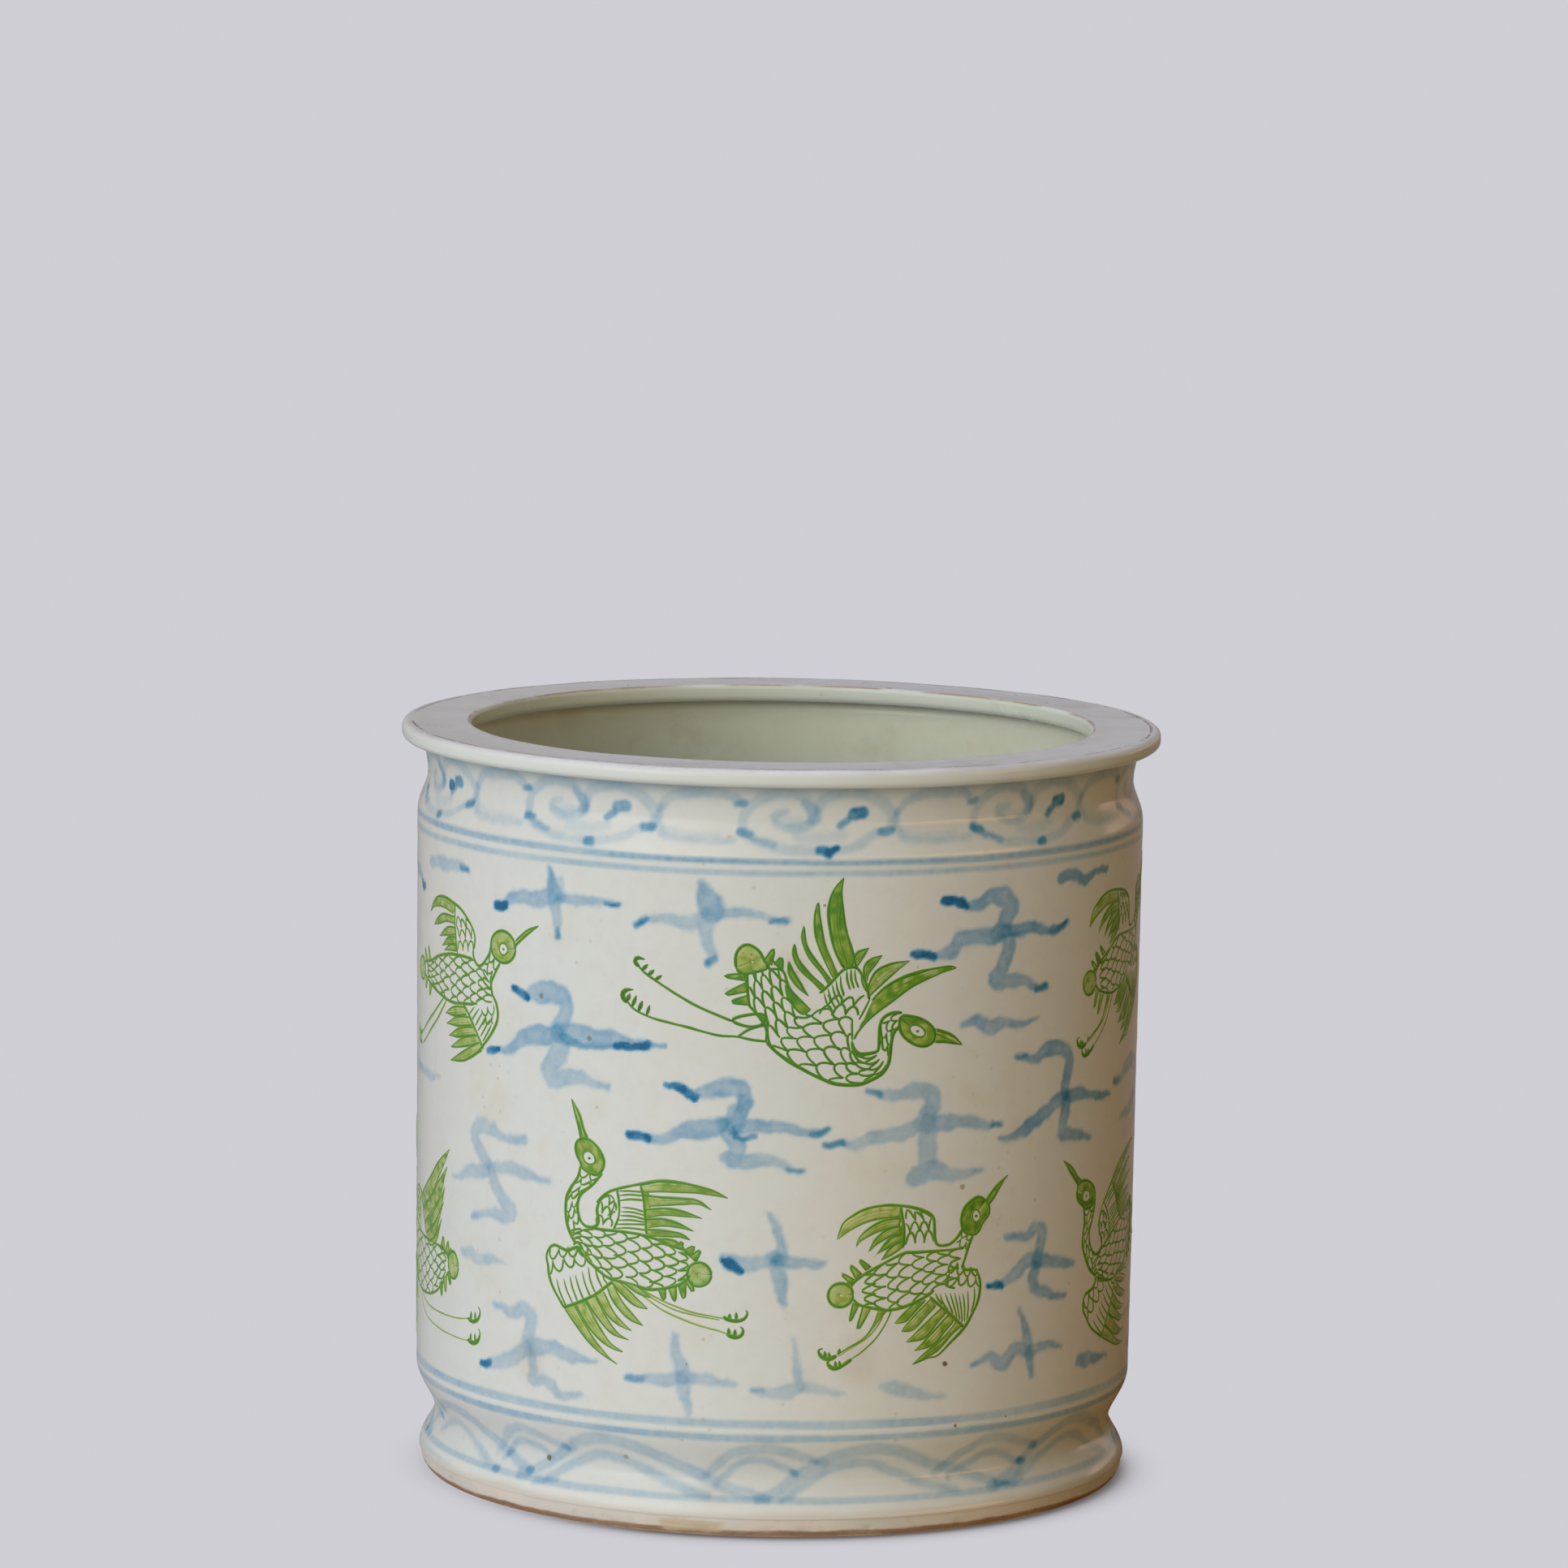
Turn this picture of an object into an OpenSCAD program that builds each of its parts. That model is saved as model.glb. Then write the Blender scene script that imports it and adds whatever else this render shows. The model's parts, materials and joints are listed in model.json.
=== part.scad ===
// Brush holder pot: a thrown porcelain cylinder with a luted mouth flange,
// a waisted neck, a moulded foot and a recessed base, under a glaze coat
// with raised enamel cranes.
// Millimetres, +Z up. The origin is the centre of the resting plane.
// The side that faces -Y is the front.

/* [Overall] */
// Outer diameter of the mouth flange
rim_d = 190; // [186:1:200]
// Height from the resting plane to the top of the flange
total_h = 188.4; // [170:0.2:240]

/* [Mouth flange] */
// Thickness of the flat flange, glaze included
rim_t = 4.4; // [3.6:0.1:6]
// Diameter of the mouth opening inside the lip
opening_d = 155; // [150:1:160]
// Radius on the flange's outer edge
rim_edge_r = 1.7; // [0.8:0.1:1.8]
// Radius on the lip's inner edge
lip_edge_r = 1.2; // [0.6:0.1:1.6]

/* [Wall] */
// Outer diameter of the wall just under the neck
wall_top_d = 181.6; // [179:0.2:184]
// Outer diameter of the wall just above the foot
wall_low_d = 179.4; // [178:0.2:184]
// Thickness of the fired wall at its top, without glaze
wall_t = 6.6; // [5:0.2:8]

/* [Neck] */
// Outer diameter at the narrowest place of the neck
neck_d = 176.5; // [174:0.5:178]
// Depth of the narrowest place below the flange's top
neck_drop = 12.7; // [10:0.1:15]
// Depth of the neck's lower end below the flange's top
neck_len = 22.6; // [18:0.2:28]

/* [Foot] */
// Largest diameter of the foot moulding
foot_d = 177.8; // [175:0.2:180]
// Height where the moulding is widest, and where the glaze ends
foot_z = 4.8; // [4:0.1:6]
// Diameter at the bottom of the groove above the moulding
groove_d = 170.2; // [168:0.2:173]
// Height of the bottom of the groove
groove_z = 14.2; // [13:0.1:16]
// Height where the groove has run out into the wall
shoulder_z = 26.5; // [24:0.5:32]
// Outer diameter of the bare resting ring
rest_d = 172.6; // [168:0.2:174]
// Inner diameter of the bare resting ring
rest_in_d = 146; // [130:1:152]

/* [Base] */
// Height of the base slab above the resting plane
base_recess = 2.6; // [1.5:0.1:4]
// Thickness of the base slab
base_t = 8; // [6:0.5:9]

/* [Coats] */
// Thickness of the fired glaze
glaze_t = 0.35; // [0.2:0.05:0.5]
// Height of the enamel above the glaze
enamel_t = 0.15; // [0.1:0.05:0.3]

/* [Hidden] */
$fn = 96;

rim_r = rim_d / 2;
open_r = opening_d / 2;
neck_r = neck_d / 2;
foot_r = foot_d / 2;
groove_r = groove_d / 2;
rest_r = rest_d / 2;
rest_in_r = rest_in_d / 2;
top_z = total_h;
flange_z = total_h - rim_t;          // underside of the glazed flange
neck_z = total_h - neck_drop;
wall_z = total_h - neck_len;
wall_in_r = wall_top_d / 2 - glaze_t - wall_t;
neck_top_r = neck_r + 0.95;          // where the neck meets the flange
floor_z = base_recess + base_t;
cove_h = 6;                          // hollow fillet between floor and wall

// Points along a circular arc.
function arc(cr, cz, r, a0, a1, n) =
    [for (i = [0 : n]) let (a = a0 + (a1 - a0) * i / n)
        [cr + r * cos(a), cz + r * sin(a)]];

// Points along an S-shaped blend between two radii, ends included.
function ease(r0, z0, r1, z1, n) =
    [for (i = [0 : n]) let (t = i / n)
        [r0 + (r1 - r0) * (1 - cos(180 * t)) / 2, z0 + (z1 - z0) * t]];

function tail(v) = [for (i = [1 : len(v) - 1]) v[i]];
function rev(v) = [for (i = [len(v) - 1 : -1 : 0]) v[i]];

// Outside of the pot from the glaze line to the flange, drawn in by d.
function moulding(d) = ease(foot_r - d, foot_z, groove_r - d, groove_z, 9);
function shoulder(d) = ease(groove_r - d, groove_z, wall_low_d / 2 - d, shoulder_z, 10);
function neck(d) = concat(
    ease(wall_top_d / 2 - d, wall_z, neck_r - d, neck_z, 9),
    tail(ease(neck_r - d, neck_z, neck_top_r - d, flange_z, 6)));

// Bare foot edge from the resting ring up to the glaze line.
function foot_edge() =
    [for (i = [0 : 8]) let (a = 90 * i / 8)
        [rest_r + (foot_r - glaze_t - rest_r) * sin(a), foot_z * (1 - cos(a))]];

// Inside of the pot from the floor's edge to the flange, drawn in by d.
function cove(d) =
    [for (i = [0 : 8]) let (a = 90 * i / 8)
        [rest_in_r + (wall_in_r - rest_in_r) * sin(a) - d * sin(a),
         floor_z + cove_h * (1 - cos(a)) + d * cos(a)]];

// Flange section with rounded edges, drawn in by d all round.
function flange_section(d) = concat(
    [[open_r + d, flange_z + d], [rim_r - rim_edge_r - d, flange_z + d]],
    arc(rim_r - rim_edge_r - d, flange_z + rim_edge_r + d, rim_edge_r, -90, 0, 5),
    arc(rim_r - rim_edge_r - d, top_z - rim_edge_r - d, rim_edge_r, 0, 90, 5),
    arc(open_r + lip_edge_r + d, top_z - lip_edge_r - d, lip_edge_r, 90, 180, 5));

// Flat mouth flange whose lip stands inside the wall.
module rim_flange() {
    color("#d9d2c4")
    rotate_extrude() polygon(flange_section(glaze_t));
}

// Wall from the groove up to the underside of the flange.
module body_wall() {
    color("#d9d2c4")
    rotate_extrude() polygon(concat(
        shoulder(glaze_t),
        neck(glaze_t),
        [[neck_top_r - glaze_t, flange_z + glaze_t],
         [wall_in_r, flange_z + glaze_t],
         [wall_in_r, floor_z + cove_h]],
        [[wall_in_r, groove_z]]));
}

// Foot ring: resting ring, bare edge and convex moulding up to the groove.
module foot_ring() {
    color("#b98a5e")
    rotate_extrude() polygon(concat(
        foot_edge(),
        tail(moulding(glaze_t)),
        [[wall_in_r, groove_z]],
        [for (p = rev(cove(0))) if (p[1] < groove_z) p],
        [[rest_in_r, 0]]));
}

// Base slab set inside the foot ring, above the resting plane.
module base_slab() {
    color("#c8a884")
    translate([0, 0, base_recess]) cylinder(r = rest_in_r, h = base_t);
}

// Glaze on the top, edges and both undersides of the flange.
module rim_glaze() {
    color("#c3bdc4")
    rotate_extrude() difference() {
        polygon(flange_section(0));
        polygon(flange_section(glaze_t));
        translate([wall_in_r, flange_z - 1])
            square([neck_top_r - glaze_t - wall_in_r, glaze_t + 1]);
    }
}

// Glaze on the outside, from the foot's glaze line to the flange.
module outer_glaze() {
    color("#e4e6e1")
    rotate_extrude() polygon(concat(
        moulding(0), tail(shoulder(0)), neck(0),
        rev(neck(glaze_t)), rev(shoulder(glaze_t)), rev(moulding(glaze_t))));
}

// Glaze on the inside wall and floor.
module inner_glaze() {
    color("#cfd5c8")
    rotate_extrude() polygon(concat(
        [[0, floor_z]], cove_under(),
        [[wall_in_r, flange_z], [wall_in_r - glaze_t, flange_z]],
        rev(cove(glaze_t)),
        [[0, floor_z + glaze_t]]));
}
function cove_under() = concat(
    [for (p = cove(0)) if (p[1] < groove_z) p],
    [[wall_in_r, groove_z]]);

/* Cranes: outlines on the unrolled wall, [along the wall, up], measured from
   each bird's own centre. Chosen by hand, half a millimetre at a time. */

// Head up, flying left, far wing raised behind
CRANE_LEFT = [[-17, 30], [-13.5, 22], [-10, 20.5], [-7.5, 17], [-9, 13], [-12, 10], [-14, 5],
    [-13, 1], [-9.5, 1], [-9, 5], [-5, 9], [1, 12], [10, 12.5], [24, 9.5], [15, 7.5], [17, 4],
    [11, 3], [15, 0], [9, -1.5], [15, -5], [20, -8], [21, -11], [16, -13], [14, -16],
    [10, -15.5], [28, -19], [28, -20], [6, -15.5], [27, -24], [27, -25], [1, -14.5],
    [2, -22], [-1, -28], [-4, -33.5], [-11, -27], [-18, -19], [-22, -13], [-24, -10],
    [-22, -6.5], [-17, -7], [-18, 1], [-17, 8], [-14.5, 12], [-15.5, 17], [-14.5, 22]];
// Diving right, wings thrown up
CRANE_DIVE = [[41, -12.5], [33, -11.5], [28, -12], [25.5, -9], [23.5, -9], [22, -13], [22.5, -16],
    [20, -19.5], [14, -21.5], [7, -20.5], [-1, -16.5], [-8, -11.5], [-42, -3], [-42, -2],
    [-15, -8], [-39, 5.5], [-39, 6.5], [-12, -5], [-14, -2], [-18, 1], [-13, 4], [-19, 5.5],
    [-15, 8], [-14, 12], [-10, 12.5], [-6, 9], [-3, 8], [0.5, 17], [3, 14], [4, 23], [7, 17],
    [9.5, 29], [11.5, 19], [12, 13], [19, 10], [27, 8], [21, 4], [39, 6.5], [28, -0.5],
    [24, -3], [28, -3.5], [33, -6.5]];
// Climbing right, near wing swept down
CRANE_RIGHT = [[24, 23], [17, 18], [14, 18.5], [11, 16], [10.5, 12], [9, 8], [6, 6.5], [3, 7.5],
    [2, 12], [-1, 17], [-9, 18], [-17, 16.5], [-21.5, 10.5], [-16, 13], [-18, 9], [-13, 12],
    [-14, 7.5], [-9, 9], [-13, 6], [-18, 2.5], [-23.5, -1], [-24, -6], [-19, -6.5],
    [-17.5, -8.5], [-15, -7], [-25, -17], [-24, -18], [-12, -10.5], [-21, -20.5], [-20, -21.5],
    [-8, -7], [-4, -7], [-1, -12], [0, -17], [-1.5, -21.5], [4, -20], [11, -14], [15, -7],
    [16, -2], [14, 1], [11, 1.5], [12, 7], [14, 11.5], [17.5, 13.5], [18.5, 16]];
// Level flight to the right, wings spread above and below
CRANE_LEVEL = [[28.5, 16], [22, 13.5], [19, 14], [14, 12.5], [13, 8], [10, 5], [6, 4.5], [4.5, 6],
    [4, 10], [1, 15], [-5, 18.5], [-14, 19], [-21, 15], [-15, 14.5], [-18, 11], [-11, 12],
    [-12, 8], [-6, 10], [-4, 6.5], [-11, 6], [-18, 6], [-28, 0], [-20, -5], [-12, -7.5],
    [-18, -10], [-33, -16.5], [-33, -17.5], [-16, -11.5], [-5, -9], [-8, -13], [-7, -20.5], [2, -20],
    [10, -15], [14, -8], [14, -4], [10, -3], [11, 1], [15, 6], [20, 9], [21, 11.5]];
SHAPES = [CRANE_LEFT, CRANE_DIVE, CRANE_RIGHT, CRANE_LEVEL];

// Each bird: [outline, azimuth from the front in degrees, height, mirrored].
// Two rings of birds, every place staggered against the other ring.
CRANES = [
    [1, 3, 133, false], [2, 70.5, 135, false], [3, -58, 130, false],
    [0, -23, 75, false], [2, 23.5, 64, false], [0, 62.5, 61, false], [0, -75, 69, false],
    [3, 122, 132, true], [1, 178, 133, true], [3, 236, 131, false],
    [2, 106, 63, true], [0, 150, 72, true], [2, 196, 64, false], [0, 240, 73, false]];

// Radius of the glazed wall at height z, on its straight part.
function wall_r(z) = wall_low_d / 2
    + (wall_top_d - wall_low_d) / 2 * (z - shoulder_z) / (wall_z - shoulder_z);

// Straight part of the wall's surface, drawn out by d.
module wall_core(d) {
    rotate_extrude() polygon([
        [0, shoulder_z + 1], [wall_r(shoulder_z + 1) + d, shoulder_z + 1],
        [wall_r(wall_z - 1) + d, wall_z - 1], [0, wall_z - 1]]);
}

// One bird's outline as a block that stands on the wall.
module crane_block(shape, az, h, flip) {
    k = flip ? -1 : 1;
    r = wall_r(h);
    pts = [for (p = shape) [r * sin(k * p[0] * 180 / PI / r), h + p[1]]];
    rotate([0, 0, az]) translate([0, -r / 2, 0]) rotate([90, 0, 0])
        linear_extrude(height = r) polygon(flip ? rev(pts) : pts);
}

// Raised overglaze enamel, one patch to a bird.
module crane_enamels() {
    color("#6f9a3c")
    for (c = CRANES)
        intersection() {
            crane_block(SHAPES[c[0]], c[1], c[2], c[3]);
            difference() {
                wall_core(enamel_t);
                wall_core(0);
            }
        }
}

rim_flange();
body_wall();
foot_ring();
base_slab();
rim_glaze();
outer_glaze();
inner_glaze();
crane_enamels();
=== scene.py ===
# Brush holder pot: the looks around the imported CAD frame.
# Lengths in the drawing tables are millimetres on the unrolled wall:
# s runs along the wall from the front (-Y) towards +X, z is the height.
import bpy
import bmesh
import json
import math
import numpy as np
from mathutils import Vector, Matrix
from mathutils.geometry import delaunay_2d_cdt

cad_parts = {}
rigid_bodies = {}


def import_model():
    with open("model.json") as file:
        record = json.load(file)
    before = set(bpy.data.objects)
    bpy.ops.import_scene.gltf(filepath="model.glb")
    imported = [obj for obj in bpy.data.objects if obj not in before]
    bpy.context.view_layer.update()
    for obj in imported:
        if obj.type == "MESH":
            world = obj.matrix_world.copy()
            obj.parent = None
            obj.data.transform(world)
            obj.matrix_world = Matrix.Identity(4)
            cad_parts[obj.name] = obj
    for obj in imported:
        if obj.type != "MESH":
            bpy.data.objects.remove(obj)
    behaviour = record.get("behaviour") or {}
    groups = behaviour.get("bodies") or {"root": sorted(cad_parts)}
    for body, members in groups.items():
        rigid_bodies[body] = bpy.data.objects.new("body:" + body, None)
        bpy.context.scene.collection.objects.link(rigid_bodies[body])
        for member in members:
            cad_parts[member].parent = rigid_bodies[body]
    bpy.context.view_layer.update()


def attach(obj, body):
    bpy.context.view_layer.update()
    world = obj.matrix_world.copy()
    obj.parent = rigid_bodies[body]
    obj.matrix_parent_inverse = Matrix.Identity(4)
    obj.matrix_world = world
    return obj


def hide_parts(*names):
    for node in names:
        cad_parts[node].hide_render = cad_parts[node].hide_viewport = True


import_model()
MM = 0.001

# ---------------------------------------------------------------- sizes
# The same numbers as the design in part.scad, in millimetres.
RIM_R, TOP_Z, RIM_T, OPEN_R = 95.0, 188.4, 4.4, 77.5
WALL_TOP_R, WALL_LOW_R = 90.8, 89.7
NECK_R, NECK_Z, WALL_Z = 88.25, 175.7, 165.8
FLANGE_Z, NECK_TOP_R = 184.0, 89.2
FOOT_R, FOOT_Z, GROOVE_R, GROOVE_Z, SHOULDER_Z = 88.9, 4.8, 85.1, 14.2, 26.5
REST_R, REST_IN_R = 86.3, 73.0
BASE_Z, FLOOR_Z = 2.6, 10.6
WALL_IN_R = 83.85
GLAZE = 0.35
R0 = 90.5                       # radius the drawing's arc length is measured at
CIRC = 2 * math.pi * R0


def smoothstep(a, b, x):
    t = np.clip((x - a) / (b - a), 0, 1)
    return t * t * (3 - 2 * t)


def ease(r0, z0, r1, z1, n):
    return [(r0 + (r1 - r0) * (1 - math.cos(math.pi * i / n)) / 2, z0 + (z1 - z0) * i / n) for i in range(n + 1)]


OUTER = (ease(FOOT_R, FOOT_Z, GROOVE_R, GROOVE_Z, 16) + ease(GROOVE_R, GROOVE_Z, WALL_LOW_R, SHOULDER_Z, 18)[1:]
         + [(WALL_TOP_R, WALL_Z)][:0]
         + ease(WALL_TOP_R, WALL_Z, NECK_R, NECK_Z, 16) + ease(NECK_R, NECK_Z, NECK_TOP_R, FLANGE_Z, 12)[1:])
OUT_R = np.array([p[0] for p in OUTER])
OUT_Z = np.array([p[1] for p in OUTER])


# ---------------------------------------------------------------- noise
def lattice(seed, nu, nv):
    return np.random.default_rng(seed).random((nv + 1, nu))


_lat = {}


def vnoise(s, z, cell, seed):
    """Smooth noise in 0..1 over the wall, periodic round the pot."""
    nu = max(3, int(round(CIRC / cell)))
    key = (nu, seed, round(cell, 3))
    if key not in _lat:
        _lat[key] = lattice(seed, nu, int(260 / cell) + 3)
    g = _lat[key]
    u = (np.asarray(s, float) / CIRC % 1.0) * nu
    v = np.clip((np.asarray(z, float) + 20) / cell, 0, g.shape[0] - 2.001)
    i, j = np.floor(u).astype(int), np.floor(v).astype(int)
    fu, fv = u - i, v - j
    fu, fv = fu * fu * (3 - 2 * fu), fv * fv * (3 - 2 * fv)
    i0, i1 = i % nu, (i + 1) % nu
    a = g[j, i0] * (1 - fu) + g[j, i1] * fu
    b = g[j + 1, i0] * (1 - fu) + g[j + 1, i1] * fu
    return a * (1 - fv) + b * fv


def wall_surface(s, z):
    """Outer glaze radius at a place on the wall, with the hand-made unevenness."""
    z = np.asarray(z, float)
    base = np.interp(z, OUT_Z, OUT_R)
    fade = smoothstep(5.5, 12, z) * (1 - smoothstep(178, 183, z))
    wob = 0.16 * (vnoise(s, z * 0.8, 46, 3) - 0.5) + 0.10 * (vnoise(s * 1.0, z, 15, 4) - 0.5)
    rings = 0.022 * np.sin(z / 1.35 + 2.2 * vnoise(s, z, 60, 5)) + 0.03 * (vnoise(s * 0.2, z, 5.5, 6) - 0.5)
    return base + fade * (wob + rings)


def place(s, z, r):
    a = np.asarray(s, float) / R0
    return np.stack([r * np.sin(a), -r * np.cos(a), np.asarray(z, float)], -1) * MM


# ---------------------------------------------------------------- underglaze blue, with the painted shade under the flange, as a density map in memory
RES = 4                                     # cells per millimetre
NX = int(round(CIRC * RES))
NZ = int(190 * RES)
CLEAR = np.ones((NZ, NX), np.float32)       # what is left of the white, 1 is none painted


def curve(pts, closed=False, step=0.6):
    """Catmull-Rom through the points; every column of pts is carried along."""
    p = np.asarray(pts, float)
    if len(p) < 3 and not closed:
        n = max(2, int(np.hypot(*(p[1, :2] - p[0, :2])) / step) + 1)
        t = np.linspace(0, 1, n)[:, None]
        return p[0] * (1 - t) + p[1] * t
    if closed:
        q = np.vstack([p[-1:], p, p[:2]])
        m = len(p)
    else:
        q = np.vstack([2 * p[:1] - p[1:2], p, 2 * p[-1:] - p[-2:-1]])
        m = len(p) - 1
    out = []
    for i in range(m):
        a, b, c, d = q[i], q[i + 1], q[i + 2], q[i + 3]
        n = max(2, int(np.hypot(*(c[:2] - b[:2])) / step) + 1)
        t = np.linspace(0, 1, n, endpoint=False)[:, None]
        out.append(0.5 * (2 * b + (c - a) * t + (2 * a - 5 * b + 4 * c - d) * t * t + (3 * b - a - 3 * c + d) * t ** 3))
    if not closed:
        out.append(p[-1:])
    return np.vstack(out)


LAYER = np.zeros((NZ, NX), np.float32)      # the figure being painted, before it is laid down
layered = [False]


def brush(d, flat, soft=None, wob=0.45, seed=1):
    """One stroke of thinned cobalt: flat is s, z, width triples, d is how strong."""
    if soft is None:
        soft = 0.85 - 0.35 * min(d, 1.0)
    p = curve(np.array(flat, float).reshape(-1, 3), step=0.45)
    p[:, 2] = np.maximum(p[:, 2], 0.4)
    pad = p[:, 2].max() / 2 + 1.6
    x0, x1 = int((p[:, 0].min() - pad) * RES), int((p[:, 0].max() + pad) * RES) + 1
    z0, z1 = max(0, int((p[:, 1].min() - pad) * RES)), min(NZ, int((p[:, 1].max() + pad) * RES) + 1)
    S, Z = np.meshgrid((np.arange(x0, x1) + 0.5) / RES, (np.arange(z0, z1) + 0.5) / RES)
    Sw = S + wob * 2 * (vnoise(S, Z, 2.6, 21 + seed) - 0.5) + wob * (vnoise(S, Z, 1.1, 22) - 0.5)
    Zw = Z + wob * 2 * (vnoise(S, Z, 2.6, 31 + seed) - 0.5) + wob * (vnoise(S, Z, 1.1, 32) - 0.5)
    best = np.full(S.shape, -9.0)
    for k in range(len(p)):
        r = p[k, 2] / 2
        dd = r - np.hypot(Sw - p[k, 0], Zw - p[k, 1])
        np.maximum(best, dd, out=best)
    cov = smoothstep(-soft, soft * .8, best)
    pool = 1 + 0.10 * np.exp(-((best - 0.5) / 0.5) ** 2) - 0.06 * smoothstep(0.8, 2.4, best)
    wash = 0.62 + 0.40 * vnoise(S, Z, 3.4, 41 + seed) + 0.28 * vnoise(S, Z, 1.5, 51 + seed)
    dd = np.clip(d * cov * pool * wash, 0, 0.97).astype(np.float32)
    idx = np.arange(x0, x1) % NX
    if layered[0]:
        T = LAYER[z0:z1, idx]
        LAYER[z0:z1, idx] = np.maximum(T, dd) + 0.22 * np.minimum(T, dd)
    else:
        CLEAR[z0:z1, idx] *= 1 - dd


def lay_down():
    CLEAR[:] *= 1 - np.clip(LAYER, 0, .97)
    LAYER[:] = 0


def blob(d, s, z, w, h, soft=0.3):
    brush(d, [s - max(w - h, 0.02) / 2, z, h, s + max(w - h, 0.02) / 2, z, h], soft=soft, wob=0.2)


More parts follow.
